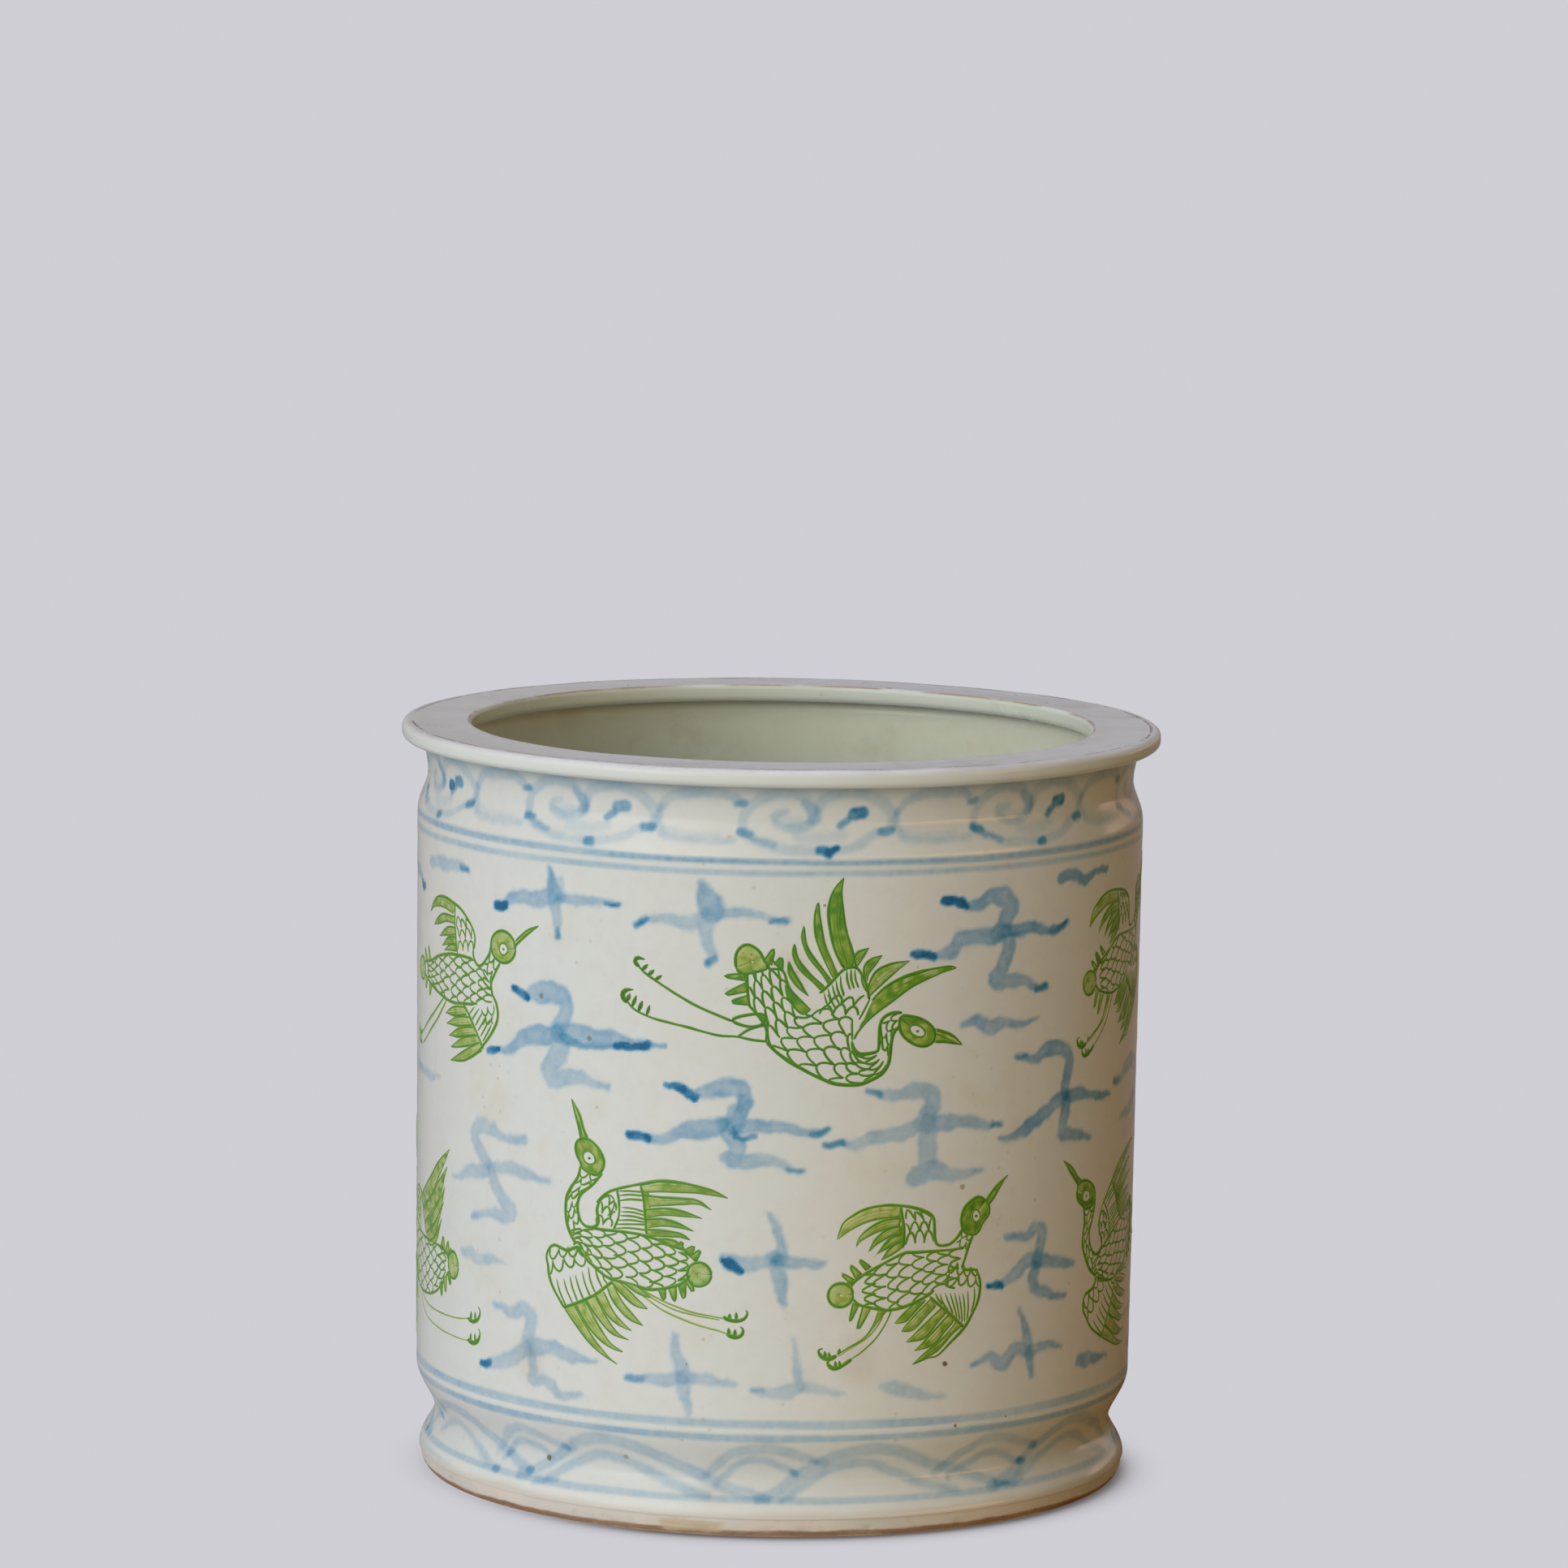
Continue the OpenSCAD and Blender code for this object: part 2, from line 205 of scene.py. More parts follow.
# Each cloud is a list of strokes: strength, then s, z, width triples.
CLOUDS = {
    "dash_left": [
        (.27, [-113, 156, 2.4, -106, 156.8, 3.2, -100, 157, 3.0, -94, 157.6, 2.4, -90, 156.8, 1.6]),
        (.5, [-94, 157.5, 1.6, -90.2, 156.7, 1.6])],
    "cross_a": [
        (.36, [-76, 150.4, 2.2, -70, 153, 3.2, -65, 152.6, 4.0, -60.5, 154.2, 4.2, -57, 155, 3.4]),
        (.32, [-57, 154, 2.8, -50, 153.8, 2.3, -40.3, 153.8, 1.1]),
        (.38, [-60, 160.6, 1.4, -58.6, 157, 3.4, -57.4, 154, 3.6]),
        (.2, [-56.6, 158.4, 2.2, -55.9, 154.6, 2.6]),
        (.32, [-58.6, 154, 3.4, -57.6, 149, 2.6, -57, 144.3, 1.6]),
        (.88, [-77.9, 150.1, 2.1, -76.2, 149.9, 2.1, -74.7, 150.5, 1.9]),
        (.62, [-43.4, 153.8, 1.2, -40, 153.8, 1.1]),
        (.5, [-59.6, 159.6, 1.2, -58.6, 157, 1.9]),
        (.66, [-57.2, 146.2, 1.5, -57, 144.3, 1.6])],
    "cross_b": [
        (.27, [-35.3, 149.3, 1.5, -32, 151, 1.8, -27, 151.2, 2.4, -22, 150.5, 3.6, -18, 152.6, 3.4]),
        (.3, [-17, 153, 3.6, -10, 153.6, 2.3, -5, 152.9, 2.0, -1, 151.8, 1.6, 2, 151.5, 1.3]),
        (.36, [-18.8, 160.2, 1.8, -17.8, 157, 5.0, -16, 153.5, 6.2]),
        (.24, [-14.5, 156.4, 2.4, -13.6, 153.4, 3.0]),
        (.27, [-17.6, 152, 4.2, -17.6, 147, 3.2, -15.8, 142.4, 2.3]),
        (.55, [-35.4, 148.9, 1.4, -32.4, 151, 1.4]),
        (.68, [-1.5, 151.6, 1.5, 1.8, 151.5, 1.5]),
        (.38, [-18.9, 159.6, 1.7, -18, 157.8, 2.0]),
        (.55, [-16.8, 141, 1.7, -15.3, 141.8, 1.7])],
    "zed_a": [
        (.36, [-67, 129, 2.5, -63, 130.2, 5.2, -59, 130.6, 5.8, -55.6, 129.8, 5.0, -54.2, 127, 4.4, -55.6, 124, 4.0, -57.2, 121, 4.0]),
        (.38, [-77, 114.5, 1.9, -72, 115, 2.6, -68, 118.4, 4.0, -63.5, 119.6, 5.0, -60, 120, 4.5, -57, 121, 4.0]),
        (.38, [-57, 120.6, 5.2, -51, 120.9, 5.4, -45, 120.8, 4.8, -39.5, 120.5, 4.2, -35.4, 119.9, 2.6, -32, 119.8, 2.2]),
        (.27, [-56, 119, 5.6, -57, 115, 5.6, -59.6, 111.6, 4.6, -58, 109, 3.6, -53, 110.4, 4.2, -48.4, 110, 2.8, -44, 109.1, 1.6]),
        (.9, [-71.9, 130, 1.5, -70, 129.6, 2.0, -67, 128.6, 2.2]),
        (.88, [-80.9, 113.5, 1.8, -79, 114, 2.1, -76.8, 114.7, 1.6]),
        (.92, [-40.4, 119.2, 1.6, -36, 119.6, 2.1, -32.3, 120, 2.3]),
        (.5, [-55, 119.8, 2.4, -51.5, 118.7, 2.2, -46, 118.9, 1.2, -40, 119.2, 1.5]),
        (.5, [-30.4, 120.2, 1.3, -27.6, 120.5, 1.1]),
        (.32, [-58, 121.6, 3.4, -55.4, 121, 3.0]),
        (.4, [-45, 109.3, 1.4, -42.1, 108.8, 1.4])],
    "zed_b": [
        (.42, [-20, 109, 2.2, -16, 110.1, 3.4, -12, 111.2, 4.6, -8.4, 110.4, 4.6, -7.9, 107, 3.8, -9, 104, 3.8, -10.2, 101, 4.2]),
        (.38, [-31.5, 97.7, 1.8, -27, 97.6, 2.6, -22, 99.8, 3.8, -17.5, 100.4, 4.4, -13, 101.7, 4.0]),
        (.2, [-21, 98.8, 2.4, -16.6, 98.9, 2.4]),
        (.38, [-12, 101.5, 4.2, -5, 101.7, 3.6, 2, 101.3, 2.8, 8, 100.4, 1.8, 11, 100.2, 1.3]),
        (.33, [-10, 104.6, 4.4, -10.8, 100, 5.0, -9.4, 96.4, 4.2, -10.2, 93.2, 4.4]),
        (.29, [-12, 93.6, 3.2, -7.6, 92.8, 3.4, -3, 93.3, 3.0, .6, 92.6, 2.2, 4.4, 91.2, 1.4]),
        (.88, [-26.9, 110.7, 1.5, -24, 110.4, 2.0, -20, 108.3, 2.3]),
        (.42, [-8.1, 108.4, 2.4, -8.7, 105.4, 2.2]),
        (.9, [-36.4, 98.2, 1.8, -33.6, 98.1, 2.0, -31.3, 97.5, 1.9]),
        (.72, [8.6, 100.1, 1.4, 10.4, 99.8, 1.7, 12.8, 101.1, 1.1]),
        (.6, [-10, 101.4, 1.4, -9.4, 98.8, 1.8]),
        (.6, [-8.2, 98.6, 1.5, -5.2, 99.6, 1.5]),
        (.5, [3.6, 91.2, 1.4, 6.5, 90.6, 1.3])],
    "zed_c": [
        (.31, [25, 109.7, 1.8, 30, 108.9, 2.8, 34, 109.9, 3.8, 37.6, 109.4, 4.2, 39.4, 107, 4.2, 38.6, 104, 3.8, 37.6, 101, 4.4]),
        (.29, [16, 97.1, 1.7, 20, 97.2, 2.6, 24.4, 98.7, 3.4, 29, 99.3, 3.8, 34, 100.5, 3.8]),
        (.32, [36, 101.5, 4.4, 43, 101.6, 3.6, 50, 101, 2.8, 56, 100, 1.5]),
        (.26, [38, 104, 4.6, 38, 97, 5.2, 38, 92, 4.6]),
        (.16, [36.3, 102, 1.6, 36.8, 95, 1.4]),
        (.3, [34, 88, 3.6, 36.4, 89.3, 4.6, 40, 90.2, 4.6, 44, 88.8, 3.4, 48, 88.2, 2.2, 52, 88.9, 1.3]),
        (.6, [22.2, 109.9, 1.4, 25.4, 109.5, 1.5]),
        (.62, [12.2, 97.1, 1.4, 16, 97.4, 1.9]),
        (.55, [55.8, 99.9, 1.3, 58.5, 100, 1.1]),
        (.3, [51, 88.9, 1.2, 52.9, 89, 1.2])],
    "zed_d": [
        (.44, [47, 154.3, 1.9, 51, 154.4, 3.2, 54.4, 156.1, 4.4, 58, 155.9, 5.0, 60.2, 153.4, 4.6, 59, 150, 4.6, 58, 147, 4.4]),
        (.42, [39, 142.4, 1.8, 43, 143.2, 2.8, 46, 146.4, 3.6, 50, 146.6, 4.2, 54.6, 146, 4.2]),
        (.5, [56, 147, 4.2, 62, 147.3, 3.2, 68, 147.4, 2.7, 73.5, 146.2, 2.2, 77, 146.1, 2.0, 80.6, 147.5, 1.4]),
        (.4, [59, 147, 4.6, 60, 143, 4.2, 58.6, 139, 3.8, 56.6, 135.6, 4.4, 60, 135, 3.8, 65, 134.8, 2.8, 70, 132.4, 1.7]),
        (.95, [40.7, 155.8, 1.4, 44, 155.5, 2.3, 47.4, 154.2, 1.6]),
        (1.0, [33.2, 143.5, 1.9, 36, 143.3, 2.3, 38.7, 142.3, 1.7]),
        (.66, [74.4, 145.9, 2.0, 77, 146.1, 2.0, 80, 147.6, 1.3]),
        (.68, [69.5, 132.2, 1.6, 73, 132.3, 1.5]),
        (.4, [62, 146.2, 1.6, 64.5, 146.2, 2.2])],
    "dash_right": [(.52, [77, 158.6, 2.2, 80, 159.2, 3.0, 84, 158.6, 3.0, 87, 157, 2.8, 92, 158.9, 2.0, 98, 158.5, 1.6])],
    "dash_mid": [(.4, [47, 125.3, 1.6, 50.6, 126.1, 3.0, 55, 124, 3.8, 60, 125, 2.4, 65, 123.6, 2.0, 70, 125, .8])],
    "zed_e": [
        (.46, [66, 115.8, 1.4, 70, 115, 2.6, 74, 116.9, 3.4, 79, 116.6, 3.8, 82.3, 113.8, 3.6, 81.6, 109, 3.6, 81.2, 105, 3.6]),
        (.46, [58.5, 96.5, 1.0, 63, 96.4, 2.0, 68, 98.4, 3.0, 73, 101, 3.2, 78, 103.4, 3.2, 82, 104.4, 3.2]),
        (.48, [82, 104.4, 3.2, 88, 104, 3.0, 94, 103, 2.4, 100, 102, 1.8, 104, 102, 1.2]),
        (.46, [82, 104, 3.8, 81, 99, 3.8, 80.4, 95.6, 3.6, 83, 94.6, 3.2, 87.4, 94, 2.6, 93, 92.5, 1.4]),
        (.66, [63.2, 116.1, 1.2, 66.4, 115.8, 1.4]), (.4, [80.6, 105.8, 1.8, 82.6, 104.6, 1.8])],
    "zed_f": [
        (.3, [107, 104.5, 1.6, 112, 105, 2.4, 117, 107, 3.2, 124, 107.5, 3.6, 129, 105, 3.6, 130, 101, 3.6]),
        (.3, [112, 95, 1.4, 118, 95.2, 2.4, 124, 97, 3.4, 130, 99, 3.6]),
        (.55, [106.6, 104.4, 1.4, 109.4, 104.6, 1.5]),
        (.3, [130, 99, 3.6, 136, 99, 3.0, 143, 97.6, 1.4]), (.28, [130, 98, 3.6, 129, 93, 3.4, 133, 90.6, 3.0, 139, 90, 1.4])],
    "zed_g": [
        (.23, [-67.5, 93.3, 1.8, -71, 92.9, 2.0, -75.4, 92.8, 2.2, -80, 94.2, 3.6, -84.6, 94.2, 4.2, -87, 91.6, 3.6, -84.6, 88.4, 3.2, -81, 85, 3.6]),
        (.24, [-98.5, 79.5, 1.0, -94, 80.3, 1.6, -90, 82, 2.8, -85, 83.2, 3.6, -80, 84.5, 3.4]),
        (.24, [-80, 84.5, 2.8, -74, 85.6, 3.0, -68, 85, 3.0, -62.6, 84, 1.6, -59.6, 84, 1.2]),
        (.24, [-79.5, 84, 2.8, -78, 80, 3.2, -75, 77.4, 3.6, -72.4, 74.6, 4.2, -75.6, 73.2, 3.2, -80, 73.6, 2.8, -84, 72.5, 2.2, -87.5, 71.4, 1.8]),
        (.2, [-70, 93, 1.6, -67.4, 94, 1.4]), (.26, [-87, 71.3, 1.5, -85.4, 72, 1.7]), (.2, [-62, 84, 1.2, -59.4, 84, 1.1]),
        (.16, [-81.5, 85.6, 2.6, -79.4, 84.4, 2.6])],
    "dash_g": [(.2, [-93, 61.5, 1.7, -89, 62, 2.6, -85, 61.1, 3.0, -80, 62, 2.3, -74, 61.7, .9])],
    "zed_h": [
        (.26, [-78, 51, 1.5, -75, 50.5, 2.0, -71, 50.1, 3.4, -67.4, 51.4, 3.8, -65, 50, 3.6, -65.2, 46.4, 3.4, -66, 43, 4.2]),
        (.25, [-80, 35.8, 2.4, -75.4, 36.9, 3.8, -70.4, 39.4, 4.2, -66, 41.6, 4.2]),
        (.26, [-65, 42.1, 4.8, -58, 43, 3.6, -53, 41.7, 3.0, -45, 41, 1.0]),
        (.26, [-64.8, 40, 3.2, -64, 36.6, 2.9, -63.6, 34.2, 3.2, -60, 34.7, 2.6, -56.4, 32.2, 2.6, -53, 31.6, 2.2, -49.5, 32.4, 1.2]),
        (.8, [-83.3, 35.4, 1.7, -81.4, 35.4, 2.1, -79.8, 35.8, 1.8]), (.24, [-78, 51, 1.3, -75.6, 50.5, 1.5]),
        (.18, [-67, 42.6, 3.2, -64.4, 42.2, 3.0])],
    "cross_c": [
        (.26, [-24, 49.8, 1.4, -24, 46, 2.6, -22.6, 41.6, 3.6, -22, 39, 3.4]),
        (.23, [-36, 38, 2.0, -32, 38, 2.2, -28, 38, 3.2, -23, 39, 3.4]),
        (.26, [-22, 39, 3.8, -16, 39, 2.8, -9, 38, 1.5]),
        (.27, [-22, 38, 3.4, -21.3, 34, 2.5, -20.7, 30, 1.2]),
        (.45, [-36, 37.9, 1.8, -33.2, 38.1, 2.1]), (.25, [-24.1, 49.4, 1.3, -24, 47.4, 1.6]), (.2, [-23, 39.3, 2.4, -20, 39, 2.4])],
    "cross_d": [
        (.32, [-12.5, 69, 1.8, -7, 67.9, 3.6, -2, 68.5, 3.2, 1, 69.4, 3.4]),
        (.36, [-1, 80, 1.1, .3, 77.5, 2.2, 1.8, 73, 2.6, 1.4, 69, 3.8]),
        (.37, [1, 69, 3.6, 6, 68.5, 2.6, 11, 68.2, 1.9]),
        (.35, [1, 69, 3.8, 1.5, 64, 3.2, 2.3, 58.2, 1.6]),
        (.96, [-12.4, 68.5, 1.5, -10.6, 67.7, 2.6, -8.4, 66.2, 1.9]),
        (.45, [9.8, 68.2, 1.5, 12.3, 68.2, 1.4]), (.35, [1.8, 58.6, 1.5, 2.8, 57.8, 1.3]), (.25, [2.4, 73.6, 1.2, 2.8, 71.4, 1.2]),
        (.3, [-1.4, 70.4, 1.6, .8, 69.4, 2.6])],
    "half_cross": [
        (.22, [5, 49, .9, 6, 46, 1.5, 6.5, 41, 2.2, 7, 38, 3.2]),
        (.22, [7, 38, 3.0, 2.4, 36.2, 3.6, -1, 36.5, 2.2, -4.5, 36.9, 1.4]),
        (.2, [7, 38, 3.2, 12, 37.3, 2.2, 17.5, 36, .9]),
        (.3, [-4.6, 37, 1.4, -2.8, 36.6, 1.8]), (.16, [6.2, 39, 2.6, 7.4, 37.8, 2.6])],
    "dash_h": [(.22, [27, 37.5, 1.7, 31, 37, 3.0, 35, 35.6, 3.2, 40, 34.5, 1.7, 44, 34, .8]), (.16, [33.4, 36, 2.4, 36.8, 35, 2.6])],
    "cross_e": [
        (.37, [66.5, 53.2, .9, 68, 49, 2.1, 69.4, 45, 3.2, 70, 42, 3.4]),
        (.35, [69, 42.6, 3.2, 65, 43.4, 3.2, 61, 40.6, 3.8, 57, 42.4, 2.3, 52, 41, 1.6]),
        (.34, [70, 42.3, 3.4, 76, 43, 2.3, 82.5, 42, .9]), (.37, [70, 42, 3.4, 70.5, 39, 2.4, 71, 36, 1.2]),
        (.4, [51.7, 40.8, 1.4, 53.2, 41.3, 1.5])],
    "zed_i": [
        (.4, [61.5, 71.8, 1.5, 65, 71.5, 1.6, 68.6, 71.3, 2.3, 72, 73, 3.4, 73.9, 71.2, 3.4, 73.2, 67.5, 3.2, 72, 65, 3.6]),
        (.4, [60, 59.8, 1.8, 64, 62, 3.2, 68, 64.4, 3.8, 72, 65, 3.8]),
        (.46, [72, 64.6, 3.8, 78, 63.6, 3.0, 84, 62.5, 2.3, 87, 61.8, 1.0]),
        (.4, [71.5, 63.5, 3.2, 70.6, 60, 2.8, 72.2, 57.5, 3.2, 77, 55.6, 2.5, 81, 54.6, 1.9, 83.5, 54.5, 1.4]),
        (.95, [56.2, 60.3, 1.6, 58.5, 60.2, 2.3, 60.4, 59.7, 1.8]), (.3, [61.4, 71.8, 1.3, 64, 71.6, 1.4]),
        (.35, [80.6, 54.6, 1.5, 83.4, 54.5, 1.4]), (.3, [82, 62.9, 1.6, 84.4, 62.5, 1.6])],
    "blotch": [(.42, [90.4, 37, 2.8, 95, 36.6, 3.6, 100, 36.1, 2.2, 107, 35.8, .8])],
    "dash_edge": [(.22, [-131, 102, 2.0, -122, 102.6, 2.4, -113, 102.4, 2.0, -106, 103, .9])],
}


def cloud(name, to=None, mirror=False, k=1.0, turn=0.0, dens=1.0, seed=1):
    """Paints a cloud where it was drawn, or again round the back with its middle at to."""
    strokes = CLOUDS[name]
    layered[0] = True
    pts = np.vstack([np.array(f, float).reshape(-1, 3) for _, f in strokes])
    mid = (pts[:, :2].max(0) + pts[:, :2].min(0)) / 2
    for n, (d, flat) in enumerate(strokes):
        f = np.array(flat, float).reshape(-1, 3)
        if to is not None:
            q = (f[:, :2] - mid) * k
            if mirror:
                q[:, 0] *= -1
            c, s_ = math.cos(turn), math.sin(turn)
            q = np.stack([q[:, 0] * c - q[:, 1] * s_, q[:, 0] * s_ + q[:, 1] * c], 1)
            f = np.column_stack([q + np.array(to), f[:, 2] * k])
        brush(min(d * dens, 1.0), f.ravel(), seed=seed + n % 3)
    lay_down()
    layered[0] = False


def paint_clouds():
    for n, name in enumerate(CLOUDS):
        cloud(name, seed=n % 4)
    # the side away from the front: the same hand, other places
    for n, (name, s, z, m, k, t) in enumerate(BACK_CLOUDS):
        cloud(name, (s, z), m, k, t, dens=1.0 + 0.12 * math.sin(3.1 * n), seed=n % 5)


BACK_CLOUDS = [
    ("cross_a", 158, 152, False, 1.0, .05), ("zed_a", 222, 148, True, .95, -.04), ("dash_mid", 262, 158, False, 1.0, 0),
    ("cross_b", 300, 152, True, 1.0, 0), ("zed_d", 350, 146, False, .95, .05), ("dash_left", 402, 157, True, .9, 0),
    ("cross_a", 432, 152, True, .92, -.06),
    ("zed_b", 158, 100, True, 1.0, .04), ("zed_c", 215, 103, False, 1.0, 0), ("zed_a", 272, 98, False, .92, .03),
    ("zed_i", 322, 104, True, 1.1, 0), ("zed_b", 372, 99, False, .96, -.04), ("zed_g", 425, 106, True, 1.0, 0),
    ("dash_g", 186, 122, True, 1.1, 0), ("dash_mid", 330, 126, True, .9, 0), ("cross_d", 243, 124, False, .8, .1),
    ("cross_d", 208, 62, False, 1.0, .08), ("zed_h", 142, 44, True, 1.0, 0), ("cross_e", 272, 46, True, 1.0, 0),
    ("zed_i", 341, 62, False, 1.0, 0), ("cross_c", 206, 40, True, .95, 0), ("half_cross", 312, 40, False, 1.1, 0),
    ("zed_h", 366, 42, False, .95, .04), ("dash_h", 240, 35, True, 1.1, 0), ("cross_d", 408, 66, True, .95, 0),
    ("cross_c", 424, 40, False, 1.0, 0), ("dash_g", 136, 75, False, .9, 0), ("dash_h", 394, 34.5, False, .9, 0),
]


def ring_line(z, w, d, seed, gaps=0.0):
    """A wheel-painted line round the pot, with the wander of the hand."""
    S, Z = np.meshgrid((np.arange(NX) + .5) / RES, (np.arange(max(0, int((z - 3) * RES)), int((z + 3) * RES)) + .5) / RES)
    zc = z + 0.55 * (vnoise(S, Z * 0 + 3, 70, seed) - .5) + 0.25 * (vnoise(S, Z * 0 + 3, 14, seed + 1) - .5)
    ww = w * (0.85 + 0.3 * vnoise(S, Z * 0 + 9, 25, seed + 2))
    b = ww / 2 - np.abs(Z - zc)
    cov = smoothstep(-0.35, 0.35, b)
    dd = d * (0.7 + 0.6 * vnoise(S, Z * 0 + 5, 18, seed + 3)) * (0.85 + .3 * vnoise(S, Z, 1.5, seed + 4))
    if gaps:
        dd = dd * smoothstep(gaps - .12, gaps + .12, vnoise(S, Z * 0 + 30, 40, seed + 5))
    r0 = max(0, int((z - 3) * RES))
    CLEAR[r0:r0 + S.shape[0]] *= (1 - np.clip(cov * dd, 0, .9)).astype(np.float32)


def ruyi(o, k=1.0, mood=0):
    """One scroll of the neck band: drawn from its left foot, k is its width against the pattern."""
    def B(d, flat, **kw):
        f = np.array(flat, float).reshape(-1, 3)
        f[:, 0] = o + f[:, 0] * k
        f[:, 2] *= 1.22 if d < .45 else 1.08
        brush(d * (.64 if d < .45 else .88), f.ravel(), wob=.25, soft=.8 - .3 * d, **kw)
    # the frame of the scroll, its left curl, and the right arch
    B(.27, [0, 173, 1.8, .3, 176.4, 1.9, 2.6, 179.6, 2.0, 6.2, 181.7, 2.2, 10.2, 182.3, 2.2, 14.2, 181.6, 2.2, 16.8, 179.2, 2.4, 17.8, 177, 2.5,
            16.6, 174.9, 2.2, 13.4, 173.8, 1.9, 10, 174.1, 1.7, 7.8, 175.6, 1.6, 8.1, 177.2, 1.5, 10.8, 177.8, 1.1])
    B(.14, [8.6, 176, 2.2, 11, 175.2, 2.8, 14, 175, 2.4])
    B(.26, [18.2, 176, 1.8, 19.4, 180.2, 2.0, 22.8, 182, 2.2, 27, 182.6, 2.2, 31.6, 181.6, 2.3, 35.6, 179, 2.3, 37.5, 176, 2.2, 36.6, 173, 1.9])
    B(.25, [0, 172.8, 1.8, 3, 171, 1.6, 7, 169.6, 1.6, 12, 168.9, 1.7, 18, 168.6, 1.6, 24, 168.9, 1.6, 29, 170.2, 1.6, 33, 172.4, 1.7, 36.4, 173, 1.6])
    B(.15, [13.4, 171.7, 1.6, 19, 171.4, 2.2, 25, 172.6, 1.5])
    dark = [.62, .9, .75][mood % 3]
    B(.34, [15.4, 180, 1.8, 17.6, 177.6, 2.2, 16.8, 175.6, 1.8])
    B(dark, [27.2, 177.3, 2.5, 29.6, 177.5, 2.7])
    B(.5 + .1 * (mood % 2), [24.2, 174.4, 1.5, 26.2, 175.8, 1.6])
    B(.62, [34.4, 172.8, 1.5, 37, 173.2, 1.4])
    B(.55, [-.4, 172.9, 1.6, 1.8, 172.4, 1.7])
    B(.42, [3, 171.2, 1.2, 7.4, 170.1, 1.3])
    if mood % 3 == 1:
        B(.9, [18.6, 168.8, 1.4, 20.2, 168.6, 1.7, 21.2, 167.6, 1.1])
        B(.9, [21.2, 168.2, 1.2, 23, 169.2, 1.2])
    else:
        B(.66, [19.8, 168.2, 1.9, 20.9, 168.4, 1.8])


def oval(o, k=1.0, mood=0):
    def B(d, flat):
        f = np.array(flat, float).reshape(-1, 3)
        f[:, 0] = o + f[:, 0] * k
        f[:, 2] *= 1.25
        brush(d * .64, f.ravel(), wob=.25, soft=.8 - .3 * d)
    B(.3, [0, 177.6, 1.4, 3.4, 180.7, 1.9, 10, 182, 2.3, 17, 181.7, 2.1, 20.8, 179.6, 1.7])
    B(.22, [0, 178, 1.5, -.4, 174.4, 1.9, 1.4, 171.4, 1.6, 6, 170.5, 1.2, 13, 170.4, 1.2, 19, 170.8, 1.3])
    B(.14, [1.4, 172.6, 1.8, 8, 171.6, 1.6, 15, 171.9, 1.4])
    B(.58, [19.6, 179.3, 1.3, 21.4, 179.6, 1.4])


def paint_neck():
    unit = 59.5
    for n, o in enumerate([-128.5, -69, -9.3, 50.2, 109.7]):
        ruyi(o, 1.0, n + 2 if n != 2 else 1)
        oval(o + 38.6, 1.0, n)
    span = (CIRC - 128.5) - (109.7 + unit)
    m = 5
    for n in range(m):
        k = span / (m * unit)
        ruyi(109.7 + unit + n * unit * k, k, n)
        oval(109.7 + unit + n * unit * k + 38.6 * k, k, n)
    ring_line(165.9, 1.6, .36, 60)
    ring_line(163.0, 1.5, .24, 66)
    blob(.8, -104.8, 176.2, 3.8, 2.9)
    # painted shade under the flange, laid in as a thin blue-grey wash
    S, Z = np.meshgrid((np.arange(NX) + .5) / RES, (np.arange(NZ) + .5) / RES)
    w = smoothstep(180.2, 183.4, Z) * (.07 + .10 * vnoise(S, Z, 12, 70))
    CLEAR[:] *= (1 - w).astype(np.float32)


def hill(s0, peak, s1, top=22.0, foot_l=10.2, foot_r=10.2, d=.25, small=False):
    w = [1.7, 2.1, 2.5, 2.4, 2.5, 2.1, 1.6] if not small else [1.2, 1.6, 1.9, 2.0, 1.9, 1.6, 1.2]
    zs = [foot_l, foot_l + .42 * (top - foot_l), top - 2.2, top, top - 2.2, foot_r + .42 * (top - foot_r), foot_r]
    ss = [s0, s0 + .34 * (peak - s0), s0 + .68 * (peak - s0), peak, peak + .34 * (s1 - peak), peak + .67 * (s1 - peak), s1]
    brush(d, [v for t in zip(ss, zs, w) for v in t], wob=.45, soft=.75)


def paint_foot():
    ring_line(28.2, 2.0, .27, 80)
    ring_line(24.9, 1.8, .31, 86)
    ring_line(9.1, 1.5, .22, 92)
    ring_line(6.7, .8, .22, 98, gaps=.42)
    for w, d, pts in HILLS:
        p = np.array(pts, float).reshape(-1, 2)
        n = len(p)
        ww = w * (.78 + .34 * np.sin(np.pi * np.arange(n) / (n - 1)))
        brush(d * .82, np.column_stack([p, ww * 1.08]).ravel(), wob=.2, soft=.8)
    for d, flat in HILL_DABS:
        brush(d * .62, flat, wob=.2, soft=.5)
    # the side away from the front repeats one hill and the one behind it
    for i, p in enumerate((153.4, 215.8, 278.3, 340.7, 403.1)):
        for w, d, pts in HILLS[5:9]:
            q = np.array(pts, float).reshape(-1, 2) * [.92, 1] + [p + 45 * .92, 0]
            n = len(q)
            brush(d, np.column_stack([q, w * (.78 + .34 * np.sin(np.pi * np.arange(n) / (n - 1)))]).ravel(), wob=.2, soft=.7, seed=i % 3)
        brush(.6, [p + 33, 9.6, 1.4, p + 35, 9.3, 1.3], wob=.2)
        brush(.5, [p - 24, 9.9, 1.4, p - 22, 10.2, 1.5], wob=.2)
        brush(.5, [p + 47, 15.4, 1.5, p + 48.6, 15, 1.4], wob=.2)


